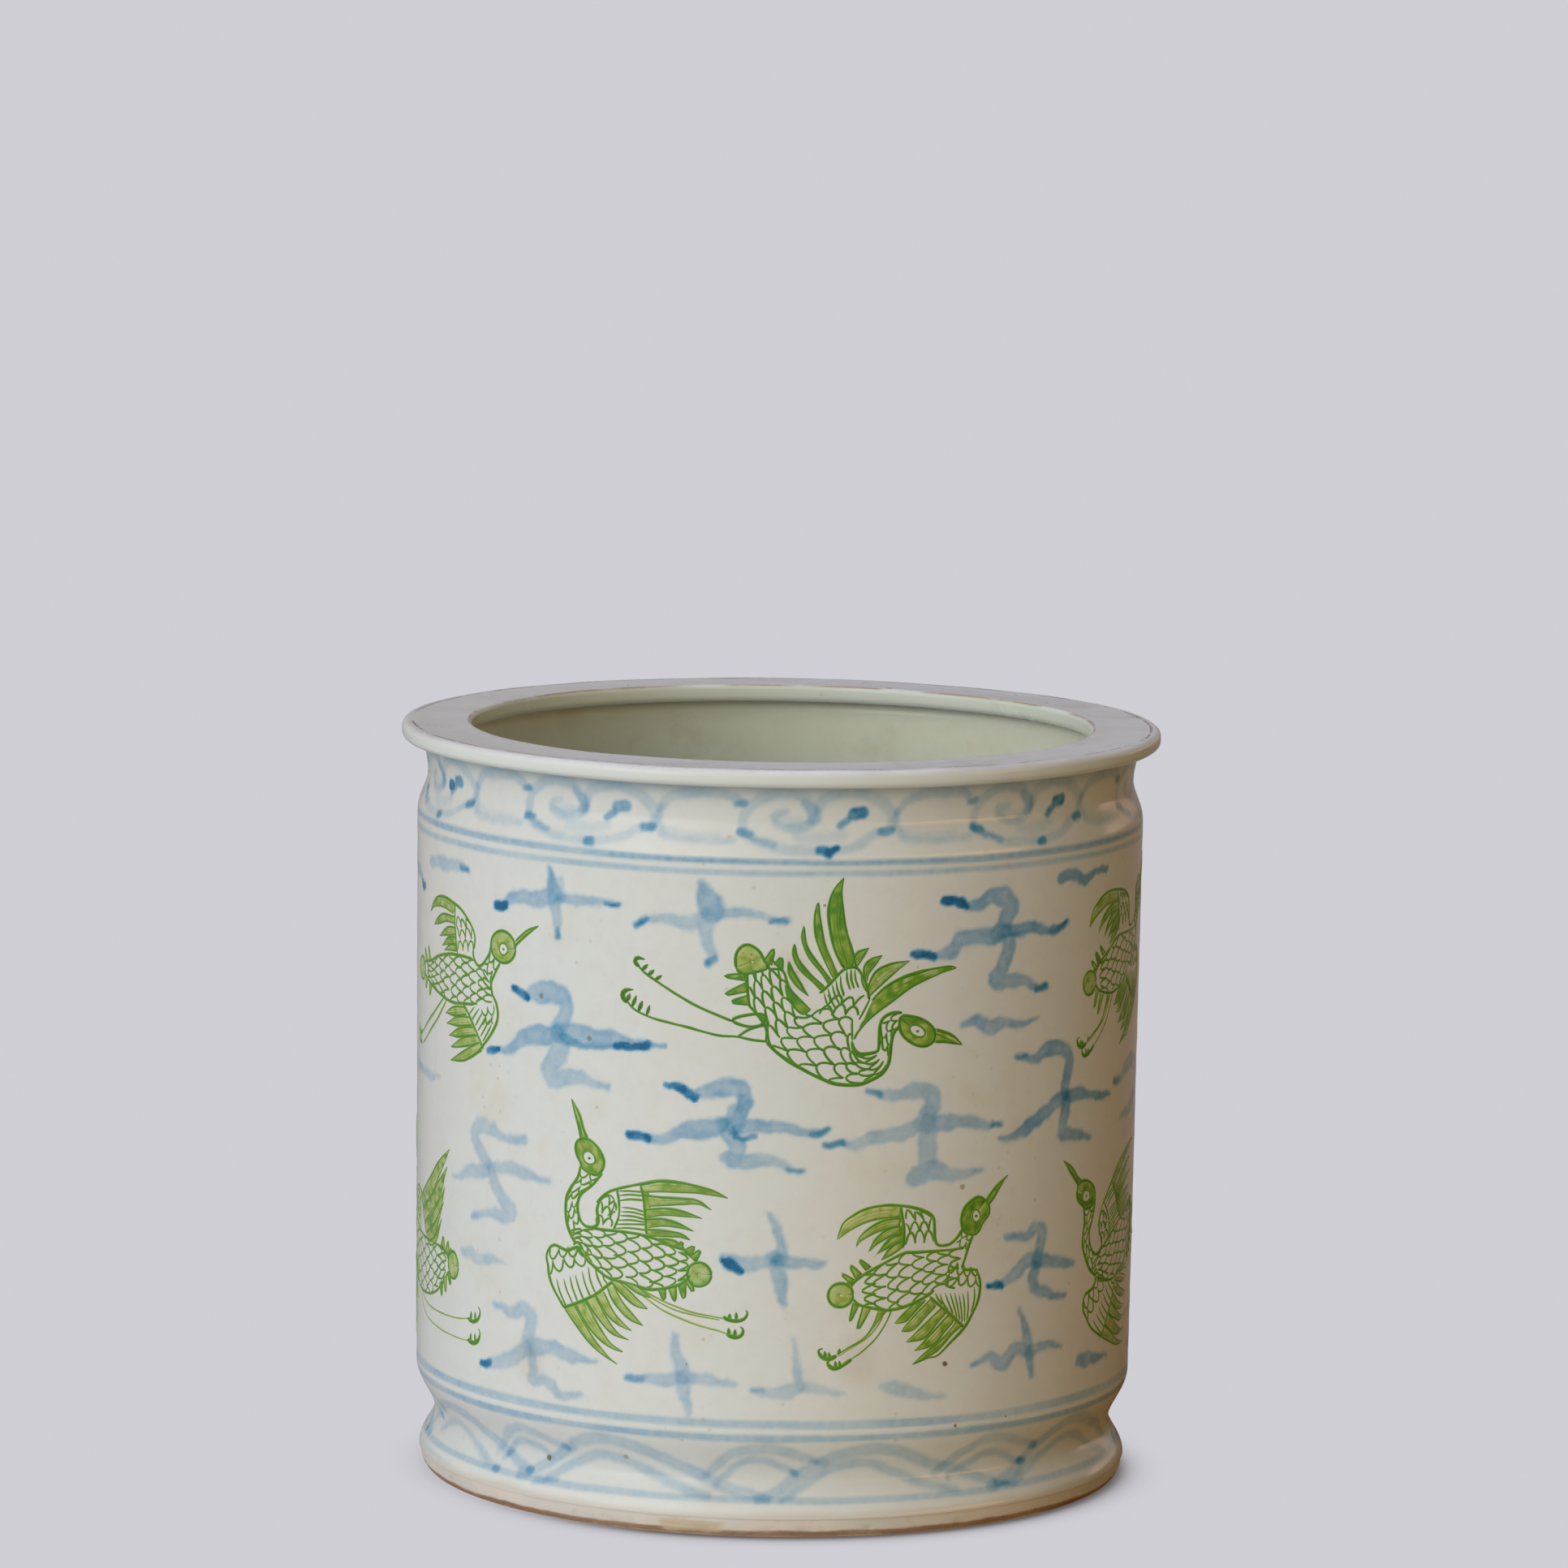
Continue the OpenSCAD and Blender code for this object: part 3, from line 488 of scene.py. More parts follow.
HILLS = [
    (2.3, .24, [-121, 15.5, -118, 17, -110, 19.8, -102, 20.6, -94, 19.8, -88, 17.5, -80, 14.5, -72, 11.5, -68, 10.3]),
    (1.7, .24, [-117, 12, -110, 15, -103, 16.4, -97, 14.8, -91, 12.3, -85, 10.3, -80, 9.3]),
    (2.0, .22, [-82, 13, -80, 15, -76, 19, -71, 21, -66, 20.5, -60, 19, -56, 18]),
    (1.6, .24, [-79, 12, -77.5, 13.5, -74, 16.5, -70, 17.5, -65, 16.5, -61, 14.5]),
    (1.6, .2, [-128, 12, -124, 14.5, -119, 16]),
    (2.6, .27, [-71, 9.4, -68, 10, -62, 13.5, -56, 17.5, -51, 20.3, -45, 22, -38, 21.5, -32, 19.8, -25, 17, -18, 14.5, -12, 12, -6, 10.5, -1, 9.4]),
    (2.0, .26, [-65, 8.6, -62, 9.5, -56, 13, -50, 16, -45, 17.5, -39, 16.8, -33, 14.8, -27, 12.5, -20, 10.5, -16, 9.8]),
    (2.2, .23, [-17, 14.6, -14, 17, -10, 20.5, -5, 22, 1, 22, 6, 20.8, 11, 18.8, 14, 18]),
    (1.7, .24, [-14, 12.6, -12, 14.5, -7, 18.5, -2, 19, 3, 17, 6, 15.6]),
    (2.5, .26, [-3, 9.2, 0, 10.3, 5, 13.5, 10, 16.8, 15, 19.6, 21, 21.3, 27, 21.8, 33, 20.8, 38, 18.5, 43, 16.5, 49, 15, 56, 12.4, 62, 10.6]),
    (2.0, .25, [3, 9.5, 6, 11, 10, 13.5, 15, 16.5, 21, 18, 26, 17.8, 32, 15.3, 38, 13, 44, 11, 50, 9.7]),
    (2.1, .24, [44, 14.2, 46, 15.5, 52, 19, 58, 21.8, 64, 21.5, 70, 19.5, 77, 17.5]),
    (1.7, .25, [48, 12.8, 50, 14, 56, 16.5, 60, 17.8, 65, 17, 70, 14.5, 73, 14]),
    (2.4, .27, [60, 9.4, 63, 10, 70, 12, 76, 16, 83, 20, 90, 22.3, 97, 21.5, 105, 19, 112, 17, 118, 14, 124, 11, 128, 9.6]),
    (1.9, .25, [67, 9.4, 70, 10.2, 77, 13, 84, 15.5, 90, 17.5, 97, 16.8, 104, 14, 111, 11, 116, 9.6]),
]
HILL_DABS = [
    (.6, [-81, 9.2, 1.4, -79.4, 9.1, 1.5]), (.78, [-69, 10.4, 1.4, -67.6, 10.4, 1.6]), (.35, [-62, 9.2, 1.2, -58, 9.6, 1.2]), (.32, [-77.6, 13.2, 2.0, -76.2, 13.6, 2.0]),
    (.36, [-57, 18.2, 1.4, -55.4, 17.9, 1.5]), (.5, [5.2, 15.8, 1.4, 6.6, 15.3, 1.5]), (.4, [10.4, 18.9, 1.5, 11.8, 18.4, 1.4]), (.55, [75.6, 17.7, 2.0, 77.2, 17.2, 1.9]),
    (.8, [72.3, 14, 1.8, 74, 13.8, 1.8]), (.6, [62.5, 9.8, 1.4, 66, 9.4, 1.3]),
]


paint_clouds()
paint_neck()
paint_foot()


def density(s, z):
    """Blue at a place on the wall, with the painted shade under the flange; 0 is bare glaze."""
    u = (np.asarray(s, float) % CIRC) * RES - .5
    v = np.clip(np.asarray(z, float) * RES - .5, 0, NZ - 1.001)
    i, j = np.floor(u).astype(int), np.floor(v).astype(int)
    fu, fv = u - i, v - j
    j = np.clip(j, 0, NZ - 2)
    a = CLEAR[j, i % NX] * (1 - fu) + CLEAR[j, (i + 1) % NX] * fu
    b = CLEAR[j + 1, i % NX] * (1 - fu) + CLEAR[j + 1, (i + 1) % NX] * fu
    return 1 - (a * (1 - fv) + b * fv)


# ---------------------------------------------------------------- crane drawings in green enamel
def pairs(flat):
    return np.array(flat, float).reshape(-1, 2)


def resample(p, n):
    p = np.asarray(p, float)
    d = np.concatenate([[0], np.cumsum(np.hypot(*np.diff(p[:, :2], axis=0).T))])
    t = np.linspace(0, d[-1], n)
    return np.column_stack([np.interp(t, d, p[:, k]) for k in range(p.shape[1])])


class Pen:
    """Draws one bird: everything is laid on the wall as a closed raised body of enamel."""

    def __init__(self, seed, about=(0, 0), to=None, turn=0.0, k=1.0, flip=False, fine=1.0):
        self.V, self.F, self.tone, self.gold = [], [], [], []
        self.n = 0
        self.rng = np.random.default_rng(seed)
        self.about = np.array(about, float)
        self.to = self.about if to is None else np.array(to, float)
        self.c, self.s, self.k, self.flip = math.cos(turn), math.sin(turn), k, flip
        self.fine = fine

    def T(self, p):
        q = (np.asarray(p, float)[:, :2] - self.about) * self.k
        if self.flip:
            q = q * [-1, 1]
        return np.column_stack([q[:, 0] * self.c - q[:, 1] * self.s, q[:, 0] * self.s + q[:, 1] * self.c]) + self.to

    def _put(self, sz, h, tone, gold, faces):
        self.V.append(np.column_stack([sz, h]))
        self.tone.append(np.full(len(sz), tone) if np.isscalar(tone) else np.asarray(tone, float))
        self.gold.append(np.full(len(sz), gold) if np.isscalar(gold) else np.asarray(gold, float))
        self.F += [tuple(int(i) + self.n for i in f) for f in faces]
        self.n += len(sz)

    def line(self, w, flat, tone=.12, taper=(1, 1), lift=.0, hand=True, raw=False, closed=False):
        w = w * 1.1
        p = self.T(pairs(flat)) if not raw else np.asarray(flat, float)
        c = curve(p, closed=closed, step=.55 / self.fine)
        if closed:
            c = np.vstack([c, c[:1]])
        L = np.concatenate([[0], np.cumsum(np.hypot(*np.diff(c, axis=0).T))])
        n = max(4, int(L[-1] / (.62 / self.fine)))
        c = resample(c, n)
        t = np.gradient(c, axis=0)
        t /= np.maximum(np.hypot(t[:, 0], t[:, 1]), 1e-9)[:, None]
        nrm = np.stack([-t[:, 1], t[:, 0]], 1)
        u = np.linspace(0, 1, n)
        ww = np.full(n, w * 1.0)
        if hand:
            k = int(self.rng.integers(0, 50))
            ww *= .84 + .34 * vnoise(c[:, 0], c[:, 1], 3.5, 100 + k)
            c = c + .16 * (np.stack([vnoise(c[:, 0], c[:, 1], 4, 160 + k), vnoise(c[:, 0], c[:, 1], 4, 220 + k)], 1) - .5)
        if taper[0] < 1:
            ww *= taper[0] + (1 - taper[0]) * smoothstep(0, .45, u)
        if taper[1] < 1:
            ww *= taper[1] + (1 - taper[1]) * smoothstep(0, .45, 1 - u)
        ww[0] *= .55
        ww[-1] *= .55
        h = np.clip(ww * .15, .05, .15) + lift
        rows = [(-.74, 0, -.05), (-.55, .3, 0), (-.3, .8, 0), (0, 1, 0), (.3, .8, 0), (.55, .3, 0), (.74, 0, -.05)]
        m = len(rows)
        sz = np.concatenate([c + nrm * (ww * o)[:, None] for o, _, _ in rows])
        hh = np.concatenate([h * g + b for _, g, b in rows])
        tn = np.concatenate([np.full(n, tone + (.62 if abs(o) > .7 else .34 if abs(o) > .5 else 0)) for o, _, _ in rows])
        F = []
        for j in range(m):
            a, b = j * n, ((j + 1) % m) * n
            for i in range(n - 1):
                F.append((a + i, b + i, b + i + 1, a + i + 1))
        F.append(tuple(j * n for j in range(m))[::-1])
        F.append(tuple(j * n + n - 1 for j in range(m)))
        self._put(sz, hh, tn, 0, F)

    def sheet(self, G, tone, gold=0.0, h=.05, crown=.05, streak=.0):
        """A filled wash of enamel from a grid of places, closed underneath."""
        n, m = G.shape[:2]
        x = np.linspace(0, 1, m)[None, :] * np.ones((n, 1))
        y = np.linspace(0, 1, n)[:, None] * np.ones((1, m))
        up = h * np.minimum(1, np.minimum(x, 1 - x) * m * 1.0 + .15) + crown * np.sin(np.pi * x) * np.sin(np.pi * np.clip(y, .02, .98)) ** .4
        P = G.reshape(-1, 2)
        tn = tone + streak * (vnoise(P[:, 0] * 1.0, P[:, 1], 1.3, 301) - .5) * 2 + .16 * (vnoise(P[:, 0], P[:, 1], 4.5, 302) - .5)
        sz = np.vstack([P, P])
        hh = np.concatenate([up.ravel(), np.full(n * m, -.07)])
        tn = np.clip(np.concatenate([tn, tn]), 0, 1)
        N = n * m
        F = []
        for i in range(n - 1):
            for j in range(m - 1):
                a, b, c, d = i * m + j, i * m + j + 1, (i + 1) * m + j + 1, (i + 1) * m + j
                F.append((a, b, c, d))
                F.append((a + N, d + N, c + N, b + N))
        for i in range(n - 1):
            a, b = i * m, (i + 1) * m
            F.append((a, b, b + N, a + N))
            a, b = i * m + m - 1, (i + 1) * m + m - 1
            F.append((b, a, a + N, b + N))
        for j in range(m - 1):
            F.append((j + 1, j, j + N, j + 1 + N))
            a = (n - 1) * m + j
            F.append((a, a + 1, a + 1 + N, a + N))
        self._put(sz, hh, tn, gold, F)

    def between(self, A, B, tone, gold=0.0, streak=.22, raw=False, h=.05):
        """Fill between two edges."""
        a = curve(self.T(pairs(A)) if not raw else A)
        b = curve(self.T(pairs(B)) if not raw else B)
        L = max(np.hypot(*np.diff(a, axis=0).T).sum(), np.hypot(*np.diff(b, axis=0).T).sum())
        n = max(4, int(L / .7))
        a, b = resample(a, n), resample(b, n)
        wid = np.hypot(*(a - b).T).max()
        m = int(np.clip(wid / .6, 3, 12)) + 1
        x = np.linspace(0, 1, m)[None, :, None]
        self.sheet(a[:, None] * (1 - x) + b[:, None] * x, tone, gold, h=h, streak=streak)

    def feather(self, upper, tip, lower, tone=.52, w=.55, dark=.12, vein=True, gold=0.0):
        """A quill: wash, outline and the dark strokes laid along it."""
        U, L, t = pairs(upper), pairs(lower), pairs(tip)
        a, b = np.vstack([U, t]), np.vstack([L, t])
        self.between(a.ravel(), b.ravel(), tone, gold, streak=.3)
        self.line(w, a.ravel(), dark, taper=(.8, .45), lift=.05)
        self.line(w * .85, b.ravel(), dark + .04, taper=(.8, .45), lift=.05)
        if vein:
            ra, rb = resample(curve(a), 12), resample(curve(b), 12)
            for f, q in ((.36, .0), (.66, .14)):
                mid = ra * (1 - f) + rb * f
                mid[-1] = mid[-2] * .4 + mid[-1] * .6
                self.line(w * .55, mid[int(1 + 8 * q):-1].ravel(), dark + .14 + .5 * q, taper=(.6, .3), lift=.06)

    def disc(self, cx, cz, rx, rz, tone, turn=0.0, gold=0.0, h=.07, inner=0.0, ring=None, outline=None):
        """A round fill, or a ring when inner is more than nothing."""
        m = 28
        a = np.linspace(0, 2 * np.pi, m)
        c, s = math.cos(turn), math.sin(turn)
        rad = np.linspace(max(inner, .05), 1, 5)
        if outline is None:
            ox, oz = rx * np.cos(a), rz * np.sin(a)
            O = np.stack([cx + ox * c - oz * s, cz + ox * s + oz * c], 1)
        else:
            o = curve(pairs(outline), closed=True)
            o = np.vstack([o, o[:1]])
            ang = np.unwrap(np.arctan2(o[:, 1] - cz, o[:, 0] - cx))
            if ang[-1] < ang[0]:
                o, ang = o[::-1], ang[::-1]
            ang0 = ang[0]
            aa = ang0 + np.linspace(0, 2 * np.pi, m)
            k = np.argsort(ang)
            O = np.stack([np.interp(aa, ang[k], o[k, 0]), np.interp(aa, ang[k], o[k, 1])], 1)
            a = aa
        if ring is None:
            I = np.array([[cx, cz]]) + (O - [cx, cz]) * max(inner, .06)
        else:
            ex, ez, erx, erz, et = ring
            q = np.cos(a - et) * erx, np.sin(a - et) * erz
            I = np.stack([ex + q[0] * math.cos(et) - q[1] * math.sin(et), ez + q[0] * math.sin(et) + q[1] * math.cos(et)], 1)
        x = np.linspace(0, 1, 5)[None, :, None]
        G = I[:, None] * (1 - x) + O[:, None] * x
        shp = G.shape
        G = self.T(G.reshape(-1, 2)).reshape(shp)
        self.sheet(G, tone, gold, h=h, crown=.03, streak=.25)

    def scales(self, left, right, pitch, lanes, w=.5, t0=.3, t1=.98, deep=.8, fill=0.0, off=0):
        """Rows of scale lines between two edges that both run from head to tail."""
        A, B = resample(curve(self.T(pairs(left))), 60), resample(curve(self.T(pairs(right))), 60)
        M = (A + B) / 2
        L = np.hypot(*np.diff(M, axis=0).T).sum()
        pk = pitch * self.k
        rows = int(L * (t1 - t0 * pk / L) / pk)

        def at(x, t):
            u = np.clip(t / L, 0, 1) * 59
            i = np.clip(np.floor(u).astype(int), 0, 58)
            f = (u - i)[:, None]
            a, b = A[i] * (1 - f) + A[i + 1] * f, B[i] * (1 - f) + B[i + 1] * f
            x = np.clip(x, 0, 1)[:, None]
            return a * (1 - x) + b * x
        for j in range(rows):
            t = (t0 + j) * pk
            sh = .5 if (j + off) % 2 else 0.0
            i0 = -1 if sh else 0
            for i in range(i0, lanes):
                x0, x1 = (i + sh) / lanes, (i + 1 + sh) / lanes
                a0, a1 = max(x0, 0), min(x1, 1)
                if a1 - a0 < .3 / lanes:
                    continue
                xs = x0 + (x1 - x0) * (.5 - .5 * np.cos(np.pi * np.linspace(0, 1, 11)))
                xs = np.clip(xs, a0, a1)
                jt = self.rng.uniform(-.13, .13) * pk
                jx = self.rng.uniform(-.07, .07) / lanes
                dp = deep * self.rng.uniform(.85, 1.15)
                ts = t + jt + dp * pk * np.maximum(np.cos(np.pi * ((xs - x0) / (x1 - x0) - .5)), 0) ** .6
                self.line(w * self.rng.uniform(.85, 1.15), at(xs + jx, ts), .13, raw=True, hand=False)

    def head(self, outline, eye, tone=.5, gold=0.0, turn=0.0):
        ex, ez, rx, rz = eye
        self.disc(ex, ez, 1, 1, tone, outline=outline, ring=(ex, ez, rx, rz, turn), gold=gold)
        o = pairs(outline)
        self.line(.62, o.ravel(), .1, closed=True, lift=.05)
        a = np.linspace(0, 2 * np.pi, 14)[:-1]
        e = np.stack([rx * np.cos(a), rz * np.sin(a)], 1)
        e = np.stack([e[:, 0] * math.cos(turn) - e[:, 1] * math.sin(turn), e[:, 0] * math.sin(turn) + e[:, 1] * math.cos(turn)], 1) + [ex, ez]
        self.line(.42, e.ravel(), .16, closed=True, lift=.05)
        self.disc(ex + .05, ez - .05, .42, .36, .08)

    def make(self, name):
        V = np.vstack(self.V)
        P = place(V[:, 0], V[:, 1], wall_surface(V[:, 0], V[:, 1]) + V[:, 2])
        me = bpy.data.meshes.new(name)
        me.from_pydata(P.tolist(), [], self.F)
        me.validate()
        ob = bpy.data.objects.new(name, me)
        bpy.context.scene.collection.objects.link(ob)
        b = bmesh.new()
        b.from_mesh(me)
        bmesh.ops.recalc_face_normals(b, faces=b.faces)
        b.to_mesh(me)
        b.free()
        pale = 0.0 if "dive" in name else .085
        for nm, data in (("tone", np.clip(np.concatenate(self.tone) + pale, 0, 1)), ("gold", np.concatenate(self.gold))):
            at = me.attributes.new(nm, 'FLOAT', 'POINT')
            if len(at.data) == len(data):
                at.data.foreach_set("value", data.astype(np.float32))
        me.polygons.foreach_set("use_smooth", [True] * len(me.polygons))
        return ob


def rising_front(d):
    """Head, neck and the hanging near wing of the rising crane."""
    neck_l = [-49.6, 89.2, -50.4, 86.1, -52.6, 83, -53.8, 80.5, -53.9, 76.7, -53.1, 73, -51, 69.6]
    neck_r = [-43.6, 87.7, -46, 84.9, -49.1, 82.4, -50.2, 80.5, -50.4, 78, -49.6, 75.5, -47.9, 74.2]
    # beak
    d.between([-52.4, 105, -51.3, 101.5, -50.2, 98, -49.4, 95.8], [-52, 104.8, -50.2, 101.5, -49, 98, -47.8, 96], .5)
    d.line(.62, [-52.5, 105.2, -51.3, 101.5, -50.2, 98, -49.6, 95.6], taper=(.4, 1), lift=.04)
    d.line(.62, [-52.3, 105, -50.2, 101.5, -49, 98, -47.8, 96], taper=(.4, 1), lift=.04)
    d.line(.4, [-50.6, 100.8, -49.9, 98.4, -49.1, 96.4], taper=(.5, 1), lift=.05)
    d.head([-50.2, 95.4, -48.5, 95.9, -46.5, 95.3, -44.5, 93.5, -43.2, 91, -43.3, 89, -44.3, 87.6, -45.5, 87.2, -47.2, 87.6,
            -49, 88.5, -49.8, 90, -50.8, 91.5, -51.2, 93.5], (-47.3, 91.1, 1.85, 1.55), tone=.28, turn=-.5)
    # neck
    d.line(.68, neck_l)
    d.line(.66, neck_r + [-45.4, 74.4, -44.4, 76.1, -44.9, 78.6, -44.1, 81.1, -42.6, 82.5, -41, 82.4, -40.2, 81.1, -40.5, 79.2, -41.9, 77.4], taper=(1, .5))
    d.scales(neck_l, neck_r, 2.35, 2, w=.46, deep=.85)
    # near wing
    d.line(.64, [-50.7, 68.9, -53.5, 67.7, -55.7, 68.1, -57.3, 68.5, -58.8, 67.7, -59.9, 65.5, -59.4, 63.3, -58.8, 60.5, -57.3, 57.4, -54.1, 53.3])
    d.scales([-58.6, 68, -59.5, 64.6, -58.8, 60.4], [-47.6, 69.4, -46.6, 66.6, -45.2, 64], 2.75, 4, w=.45, deep=.95, t0=.1)
    G = [([-54.1, 53.3, -50.4, 49.3, -46.6, 45.5, -42.9, 43], [-39.1, 41.1], [-51.3, 54.4, -48.5, 50.5, -45.4, 46.4, -41.9, 43]),
         ([-51, 54.8, -47.9, 50.5, -44.1, 46.8, -40.4, 44.9], [-37.6, 44.3], [-48.2, 55.8, -46.6, 53.6, -44.1, 49.9, -41, 46.1]),
         ([-47.9, 56.1, -45.4, 53, -41.6, 49.3, -38.8, 48], [-36, 47.4], [-45.4, 57.4, -44.1, 55.5, -41.9, 52.1, -39.1, 48.9]),
         ([-45.1, 57.5, -42.3, 53.6, -38.5, 50.8], [-35.3, 49.7], [-42.9, 58.6, -40.4, 54.3, -37.6, 51.4]),
         ([-41.9, 59.9, -40.4, 56.8, -37.3, 53.6, -34.8, 52.1], [-32.3, 51.3], [-40.1, 60.2, -37.9, 56.8, -34.8, 53.6]),
         ([-41, 61.4, -37.9, 58.6, -34.4, 56.1], [-31.1, 55.4], [-39.1, 61.8, -36, 59.6, -33.5, 57.4]),
         ([-38.4, 61.9, -35, 59.8, -32.6, 58.8], [-30.2, 58.2], [-35.6, 61.5, -33.6, 60.6])]
    for i, (u, t, l) in enumerate(G):
        d.feather(u, t, l, .62 - .03 * (i % 2), w=.52)
    for b in ([-56.6, 60.2, -55.5, 57, -53.5, 53.6], [-54.4, 60.5, -53.6, 58, -51.9, 54.9], [-52.6, 61.4, -51.8, 58.6, -50.4, 55.5],
              [-51, 61.8, -50, 59, -48.5, 56.1], [-49.1, 63, -48.2, 60, -46.6, 56.8], [-47.3, 64.3, -46.6, 61, -45.1, 58],
              [-45.4, 64.9, -44.6, 62, -43.2, 59.3], [-43.4, 63.8, -42.9, 61.8, -41.6, 60.4]):
        d.line(.44, b, .16, taper=(.6, 1))
    d.line(.7, [-54.1, 53.5, -51.3, 54.6, -48.2, 56, -45.1, 57.7, -41.9, 60.2, -40.4, 61.4], lift=.03)


def crane_rising(d):
    """Head up, far wing lifted behind, near wing hanging, legs trailing to the right."""
    body_top = [-48, 74.2, -43.8, 73.9, -38.5, 73.9, -33.5, 73.6, -28.5, 72.7, -24.8, 71.4, -21.6, 70.5, -20.1, 68.9]
    body_low = [-50.5, 69, -48, 66.5, -44, 63.5, -40.7, 62, -34.8, 61.1, -31, 60.4, -27.3, 60.8, -23.5, 61.8, -21.3, 63.3, -20.1, 64.9]
    rising_front(d)
    # far wing
    top = [-45, 80.5, -42.3, 83, -38.5, 84.6, -33.5, 86, -28.5, 87.1, -23.5, 87.1, -18.5, 86.4, -14.8, 85.5, -11.3, 83.8]
    d.line(.62, top, taper=(.8, .4), lift=.04)
    d.feather([-33.2, 85.8, -28.5, 87, -23.5, 87, -18.5, 86.3, -14.8, 85.4], [-11.3, 83.8], [-32.9, 84.1, -28.5, 84.5, -23.5, 84.8, -18.5, 84.8, -14.8, 84.4], .45)
    d.feather([-32.6, 83.4, -28.5, 83.1, -23.5, 83.2, -18.5, 82.8], [-15.3, 80.8], [-31.6, 80.7, -27.3, 81.3, -22.9, 81.8, -18.5, 82.1], .5)
    d.feather([-32, 79.8, -27.3, 80.5, -22.9, 80.1], [-17.6, 78.6], [-31.2, 78.1, -26.6, 78.9, -22.3, 78.9], .42)
    d.feather([-31.9, 77.4, -27.3, 77.8, -22.9, 76.8], [-19.6, 75.4], [-31.2, 75.5, -27.3, 76.3, -22.9, 76], .42)
    d.feather([-31.7, 75, -27.9, 75.1, -22.9, 74.6], [-20.5, 73.1], [-31.2, 73.6, -27.9, 73.6, -23.5, 73.8], .4)
    d.feather([-28.5, 73, -24.8, 72.8], [-21.9, 71.1], [-28.5, 71.9, -25.4, 71.4], .42, vein=False)
    d.between([-33.2, 85.5, -32, 82, -31.8, 78, -31.6, 74], [-31.6, 85.6, -30.6, 82, -30.6, 78, -30.8, 74], .34)
    d.line(.6, [-33.2, 85.6, -32.3, 82, -31.9, 78, -31.6, 73.8], lift=.04)
    for b in ([-39.1, 83.8, -36, 84.1, -32.9, 84.1], [-39.1, 81.4, -36, 82, -32.6, 82.1], [-38.2, 79.9, -35, 79.8, -32.3, 79.3],
              [-38.5, 77.8, -35, 77.9, -31.9, 77.4], [-39.8, 75.5, -36, 76, -31.8, 76.1], [-39, 82.7, -36, 83.2, -32.8, 83.2],
              [-38.4, 78.8, -35, 78.9, -32, 78.3], [-39.4, 76.6, -35.5, 76.9, -31.9, 76.8], [-39.9, 74.6, -36, 74.9, -31.6, 74.8]):
        d.line(.44, b, .16, taper=(.6, 1))
    d.scales([-45.2, 75, -44.9, 78.6, -44, 81, -42.3, 83, -39.6, 84.2], [-41.5, 74.2, -40.2, 76, -39.9, 78, -39.4, 80.5, -39.2, 83], 2.4, 2, w=.48, deep=.85)
    d.line(.5, [-39.6, 84.2, -38.9, 81, -38.9, 77.5, -40.4, 73.9])
    # body
    d.line(.6, body_top)
    d.line(.66, body_low)
    d.scales([-53, 72.5] + body_top, [-52, 66.8] + body_low, 3.15, 4, w=.46, deep=1.0)
    # tail
    d.disc(-18.2, 64.8, 3.0, 2.9, .52, gold=.55)
    d.line(.6, [-15.2, 64.8, -16.2, 67, -18.2, 67.8, -20.3, 66.9, -21.1, 64.8, -20.3, 62.6, -18.2, 61.9, -16.2, 62.7], closed=True, lift=.05)
    for b in ([-22, 70.6, -19.4, 71.7, -20, 69.4], [-20.6, 69, -17.9, 70.8, -19, 67.7], [-28.4, 60.6, -26.8, 58, -26.4, 60.7],
              [-25.8, 60.9, -24.1, 57.8, -23.8, 61.3], [-23.4, 61.9, -21.8, 58.7, -21.3, 62.6], [-21.6, 63, -19.6, 60.4, -20, 63.6],
              [-24.6, 71.4, -22.4, 72.6, -22.6, 70.8]):
        p = pairs(b)
        d.between(p[:2].ravel(), p[[2, 1]].ravel(), .35)
        d.line(.5, b, taper=(.6, .6), lift=.04)
    # legs
    d.line(.42, [-33.5, 60.5, -28.5, 58.3, -23.5, 56.4, -18.5, 55.2, -12.9, 54.4, -9.8, 54.3], .34, taper=(1, .7))
    d.line(.34, [-32.9, 59.9, -28.4, 57.5, -23.5, 55.6, -18.5, 54.6, -12.9, 53.9], .34, taper=(1, .7))
    d.line(.85, [-12.1, 54.8, -11, 54.1, -8.8, 53.8, -6.9, 54.4, -6.1, 55.8, -6.6, 56.5], .08, taper=(1, .4), lift=.03)
    d.line(.7, [-10.5, 54.3, -10.5, 55.6], .08, taper=(1, .4))
    d.line(.7, [-8.9, 54.1, -9, 56], .08, taper=(1, .4))
    d.line(.40, [-32.3, 58.6, -27.3, 55.5, -22.3, 53.6, -17.3, 52.1, -13.5, 51.3, -11, 50.6], .38, taper=(1, .7))
    d.line(.85, [-11.2, 50.5, -9.1, 49.8, -7.6, 50.4, -7.2, 51.8, -8, 52.5], .08, taper=(1, .4), lift=.03)
    d.line(.7, [-10.6, 50.4, -10.8, 52], .08, taper=(1, .4))
    d.line(.7, [-9.2, 50.1, -9.2, 51.8], .08, taper=(1, .4))


